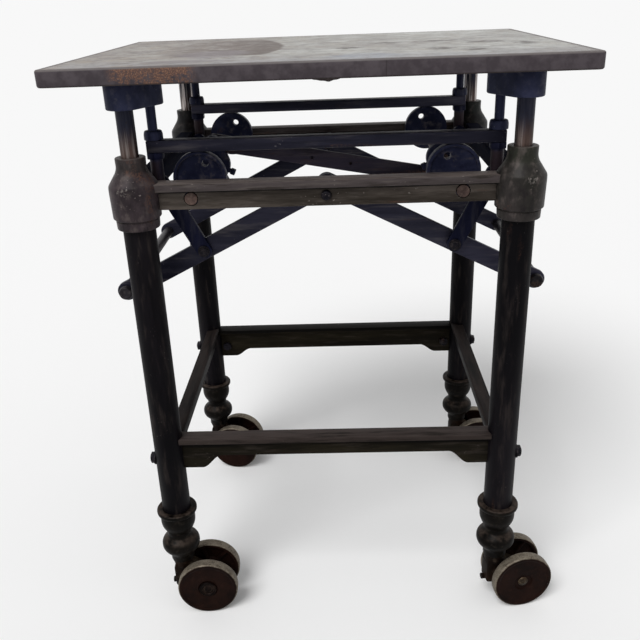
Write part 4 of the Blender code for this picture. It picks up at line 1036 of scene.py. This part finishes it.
# %% Eccentrics
CAM_RADIUS, CAM_RIM, CAM_RECESS, HUB = 0.04, 0.0045, 0.004, 0.015
HOLE_REACH, HOLE_ANGLE, HOLE = 0.024, radians(66), 0.00525
CAM_INNER = CAM_RADIUS - CAM_RIM

for name, side in SIDES.items():
    axle = AXIS[f"rocker_{name}_turn"]
    for where, end in ENDS.items():
        node, outwards = f"eccentric_{where}_{name}", (0, end, 0)
        centre, thick = middle(node), high(node).y - low(node).y
        back, floor = end * faces_y(node)[0], thick - CAM_RECESS
        disc = turned([(0, floor), (CAM_INNER, floor, 0.0012), (CAM_INNER - 0.0006, thick, 0.001),
                       (CAM_RADIUS, thick, 0.0012), (CAM_RADIUS, 0, 0.001), (0, 0)], 96)
        stood(disc, (centre.x, back, centre.z), outwards)
        hub = rod(HUB, floor + CAM_RECESS * 0.92 - 0.002, 0.001, 56)
        stood(hub, (axle.x, back + end * 0.002, axle.z), outwards)
        spot = (centre.x - side * HOLE_REACH * cos(HOLE_ANGLE), back - end * 0.004,
                centre.z + HOLE_REACH * sin(HOLE_ANGLE))
        hole = bit(HOLE, thick + 0.008, 32, spot, outwards)
        piece(f"eccentric_disc_{where}_{name}", drilled(fused(disc, hub), hole), CAM, node)
tally("eccentrics")

# %% The link
LINK_HALF, LINK_HOLES, LINK_HOLE, LINK_SEAT = 0.0145, (0.43, 0.6), 0.003, 0.0075
right_axle = AXIS["rocker_right_turn"]
link_right = Vector((right_axle.x, 0, right_axle.z - CRANK_REACH))
near, far = low("sync_link").y, high("sync_link").y
strap = hulled([(link_left.xz, LINK_HALF), (link_right.xz, LINK_HALF)], near, far, STRAP_EASE)
spots = [link_left.lerp(link_right, share) for share in LINK_HOLES]
holes = [bit(LINK_HOLE, 0.012, 24, (spot.x, near - 0.006, spot.z), TO_REAR) for spot in spots]
holes.append(bit(LINK_SEAT, 0.02, 32, (link_right.x, near - 0.006, link_right.z), TO_REAR))
piece("link_strap", drilled(strap, *holes), LINK, "sync_link")
tally("link")

# %% [markdown]
# Casters
#
# A caster is a cast horn between two iron wheels. The horn has a neck under the foot, a web that trails
# back to the axle, and a small heel in front. A wheel is a flat face with an inner side hollowed round a
# hub, stiffened by ribs. The tread is rubbed pale by floors while the face stays red-brown, so the
# wheel's finish asks how far each point is from the axle.

# %% Caster finishes
WHEEL_RADIUS = AXIS["wheel_front_left_a_spin"].z


def rolled_wheel(name):
    """Red-brown faces and a pale worn tread. The mesh keeps each point's distance from the axle."""
    finish = Finish(name, 0.05)
    mask, mix, noise = finish.mask, finish.mix, finish.noise
    reach = finish.node("ShaderNodeAttribute", {"attribute_name": "axle_distance"}, None, "Fac")
    slow, fast = noise(16, 5, 0.6), noise(110, 5, 0.62, None, 3.0)
    grit = noise(560, 3, 0.5, None, 7.0)
    tread = mask(reach + (fast - 0.5) * 0.0016, WHEEL_RADIUS - 0.003, WHEEL_RADIUS - 0.0012)
    bare = mix(mask(fast * 0.5 + grit * 0.5, 0.36, 0.58), (0.068, 0.054, 0.041), (0.2, 0.172, 0.134))
    colour = finish.layers(
        mix(mask(slow, 0.36, 0.66), (0.0042, 0.0017, 0.0012), (0.0125, 0.0048, 0.0032)),
        (mask(fast, 0.52, 0.74) * 0.4, (0.03, 0.014, 0.01)),
        (mask(fast, 0.46, 0.3) * 0.5, (0.0026, 0.0015, 0.0013)), (tread * 0.95, bare))
    roughness = 0.58 - tread * 0.1 + (fast - 0.5) * 0.3
    bumps = slow * 0.4 + fast * 0.8 + grit * 0.3
    return finish.wear(colour, roughness, 0.1 + tread * 0.35, bumps, 0.4, 0.0009)


WHEEL = rolled_wheel("rolled_wheel_iron")
HORN = weathered("cast_horn", (4.4, 2.3, 1.5), (18.9, 9.1, 5.3), (74, 55, 40), (54, 25.4, 15.8), 0.22,
                 0.58, 0.1, dust=(50, 39, 26.4), specular=0.05)
AXLE = weathered("axle_iron", (1.2, 0.5, 0.4), (5, 2, 1.6), (45, 30, 23), (20, 9, 7), 0.2, 0.46, 0.1,
                 flecks=0.3, specular=0.04, edge=0.0008)
NUT = weathered("axle_nut", (8, 5.5, 3.5), (28, 20, 12.5), (190, 140, 85), (45, 23, 12), 0.25, 0.4, 0.35,
                specular=0.1, grain=2.0)
print("finishes in all", len(bpy.data.materials))

# %% Wheels
WHEEL_WIDTH, RIM, WEB, WHEEL_HUB, AXLE_BORE = 0.0175, 0.007, 0.007, 0.015, 0.00655
RIBS, RIB_HALF, RIB_TURN = 6, 0.0022, 0.3
FACE = WHEEL_WIDTH / 2
hollow, rim_inside = FACE - WEB, WHEEL_RADIUS - RIM
wheel_profile = [
    (WHEEL_RADIUS - 0.0012, FACE, 0.002), (WHEEL_RADIUS, FACE - 0.003, 0.0016),
    (WHEEL_RADIUS, -FACE + 0.002, 0.0014), (WHEEL_RADIUS - 0.0012, -FACE, 0.001),
    (rim_inside, -FACE, 0.0012), (rim_inside - 0.0015, hollow, 0.003), (WHEEL_HUB + 0.001, hollow, 0.003),
    (WHEEL_HUB, -FACE, 0.0012), (AXLE_BORE, -FACE), (AXLE_BORE, FACE - 0.0034),
    (0.0164, FACE - 0.0034, 0.0006), (0.0172, FACE - 0.0006, 0.0006), (0.045, FACE - 0.001, 0.001),
    (0.0468, FACE, 0.001)]
ribs = []
for number in range(RIBS):
    rib = block((WHEEL_HUB - 0.002, -RIB_HALF, -FACE + 0.0045),
                (rim_inside + 0.001, RIB_HALF, hollow + 0.002), 0.0006)
    turn = Matrix.Rotation(tau * number / RIBS + RIB_TURN, 3, "Z")
    bmesh.ops.rotate(rib, cent=(0, 0, 0), matrix=turn, verts=rib.verts)
    ribs.append(rib)
ribbed_wheel = fused(turned(wheel_profile, 96), *ribs)
axle_distance = ribbed_wheel.verts.layers.float.new("axle_distance")
for point in ribbed_wheel.verts:
    point[axle_distance] = hypot(point.co.x, point.co.y)
for corner in CORNERS:
    for letter, way in (("a", -1), ("b", 1)):
        node, axle = f"caster_wheel_{corner}_{letter}", POINTING[f"wheel_{corner}_{letter}_spin"]
        piece(f"wheel_{corner}_{letter}", stood(ribbed_wheel.copy(), middle(node), way * axle), WHEEL, node)
ribbed_wheel.free()
tally("wheels")

# %% Horns and axles
NECK, HORN_HALF, HEEL, BOSS, PIN = 0.0165, 0.014, 0.0165, 0.017, 0.00625
HORN_TOP = FOOT_LOW - PLAY
NUTTED = "front_right"
neck_profile = [(0, 0.05), (0.008, 0.05, 0.001), (0.008, 0), (0.0185, 0, 0.001), (0.0185, -0.0045, 0.0012),
                (NECK, -0.005, 0.0008), (NECK, -0.015, 0.003), (0.0088, -0.026), (0, -0.026)]


def axle_end(corner, reach):
    """An axle's end from its middle outwards: a domed nut at the front right, a riveted ring elsewhere."""
    if corner == NUTTED:
        return [(0, reach), (0.0026, reach - 0.0004, 0.001), (0.004, reach - 0.0022, 0.0006),
                (0.0078, reach - 0.003, 0.0012), (0.0092, reach - 0.005, 0.0004), (PIN, reach - 0.005)]
    return [(0, reach - 0.0024), (0.006, reach - 0.0022, 0.0006), (0.0104, reach - 0.003, 0.0008),
            (0.0122, reach - 0.0003, 0.0008), (0.0148, reach - 0.0002, 0.0008),
            (0.0158, reach - 0.0024, 0.0004), (PIN, reach - 0.0024)]


for corner in CORNERS:
    node, leg, spin = f"caster_horn_{corner}", LEG[corner], f"wheel_{corner}_a_spin"
    axle, place = POINTING[spin], AXIS[spin]
    swung = Matrix.Translation((*leg.xy, 0)) @ Matrix.Rotation(atan2(-axle.x, axle.y), 4, "Z")
    spread = (middle(f"caster_wheel_{corner}_b") - middle(f"caster_wheel_{corner}_a")).length
    half, trail = (spread - WHEEL_WIDTH) / 2 - 0.001, (place.xy - leg.xy).length
    web = hulled([((0, HORN_TOP - 0.02), HEEL), ((-HEEL + 0.006, WHEEL_RADIUS - 0.004), 0.006),
                  ((trail, WHEEL_RADIUS), 0.015)], -HORN_HALF, HORN_HALF, 0.003)
    boss = stood(rod(BOSS, 2 * half, 0.0015, 48), (trail, -half, WHEEL_RADIUS), TO_REAR)
    horn = fused(web, boss, stood(turned(neck_profile, 48), (0, 0, HORN_TOP)))
    nub = stood(rod(0.0052, 0.009, 0.0012, 24), (-HEEL + 0.003, 0, WHEEL_RADIUS - 0.005), (-1, 0, 0))
    for title, draft, finish in (("horn", horn, HORN), ("heel_nub", nub, AXLE)):
        bmesh.ops.transform(draft, matrix=swung, verts=draft.verts)
        piece(f"{title}_{corner}", draft, finish, node)
    pin = turned(both_ends(axle_end(corner, (spread + WHEEL_WIDTH) / 2 + 0.002)), 48)
    piece(f"axle_{corner}", stood(pin, place, axle), NUT if corner == NUTTED else AXLE, node)
tally("horns")

# %% [markdown]
# Floor and light
#
# The table stands on a plain pale floor in an even room. A soft sun from the front left models the round
# parts, and the sky fills the shadows, at a level where a colour renders about as it is written. Floor
# and sky look paler to the camera and in reflections than they shine as lamps, so that the background is
# pale while the undersides of the rails stay as dark as in a real room.

# %% Floor, lamp and sky
FLOOR_HALF, FLOOR_LAMP, FLOOR_SEEN = 200, 0.38, 0.92
SUN_STRENGTH, SUN_ANGLE, SUN_TOWARDS = 1.95, radians(30), Vector((0.42, 0.7, -1.05))
SKY_LAMP, SKY_SEEN = 0.53, 0.94


def looked_at(tree):
    """1 for rays from the camera, a reflection or a transparent surface, and 0 for light passed on."""
    path = tree.nodes.new("ShaderNodeLightPath")
    seen = path.outputs["Is Camera Ray"]
    for kind in ("Is Glossy Ray", "Is Transmission Ray"):
        both = tree.nodes.new("ShaderNodeMath")
        both.operation = "MAXIMUM"
        tree.links.new(seen, both.inputs[0])
        tree.links.new(path.outputs[kind], both.inputs[1])
        seen = both.outputs[0]
    return seen


def lamp_or_seen(tree, lamp, seen, socket):
    """Feeds a socket one level for passed-on light and another for what is looked at."""
    level = tree.nodes.new("ShaderNodeMapRange")
    level.inputs["To Min"].default_value, level.inputs["To Max"].default_value = lamp, seen
    tree.links.new(looked_at(tree), level.inputs["Value"])
    tree.links.new(level.outputs["Result"], socket)


floor = shown("studio_floor", bpy.data.meshes.new("studio_floor"))
sheet = bmesh.new()
bmesh.ops.create_grid(sheet, x_segments=1, y_segments=1, size=FLOOR_HALF)
sheet.to_mesh(floor.data)
sheet.free()
pale = Finish("pale_floor", 0.0)
pale.shader.inputs["Roughness"].default_value = 0.9
lamp_or_seen(pale.tree, FLOOR_LAMP, FLOOR_SEEN, pale.shader.inputs["Base Color"])
floor.data.materials.append(pale.material)

sun = shown("soft_sun", bpy.data.lights.new("soft_sun", "SUN"))
sun.data.energy, sun.data.angle = SUN_STRENGTH, SUN_ANGLE
sun.rotation_euler = SUN_TOWARDS.to_track_quat("-Z", "Y").to_euler()

sky = bpy.data.worlds.new("pale_sky")
bpy.context.scene.world = sky
sky.use_nodes = True
background = sky.node_tree.nodes["Background"]
background.inputs["Color"].default_value = (1, 1, 1, 1)
lamp_or_seen(sky.node_tree, SKY_LAMP, SKY_SEEN, background.inputs["Strength"])
bpy.context.scene.view_settings.view_transform = "Standard"
print("lamp", SUN_STRENGTH, "sky", SKY_LAMP)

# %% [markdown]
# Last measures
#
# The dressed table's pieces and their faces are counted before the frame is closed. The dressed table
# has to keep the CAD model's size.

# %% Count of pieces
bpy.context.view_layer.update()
print("pieces", len(made_pieces), "faces", sum(len(kept.data.polygons) for kept in made_pieces))
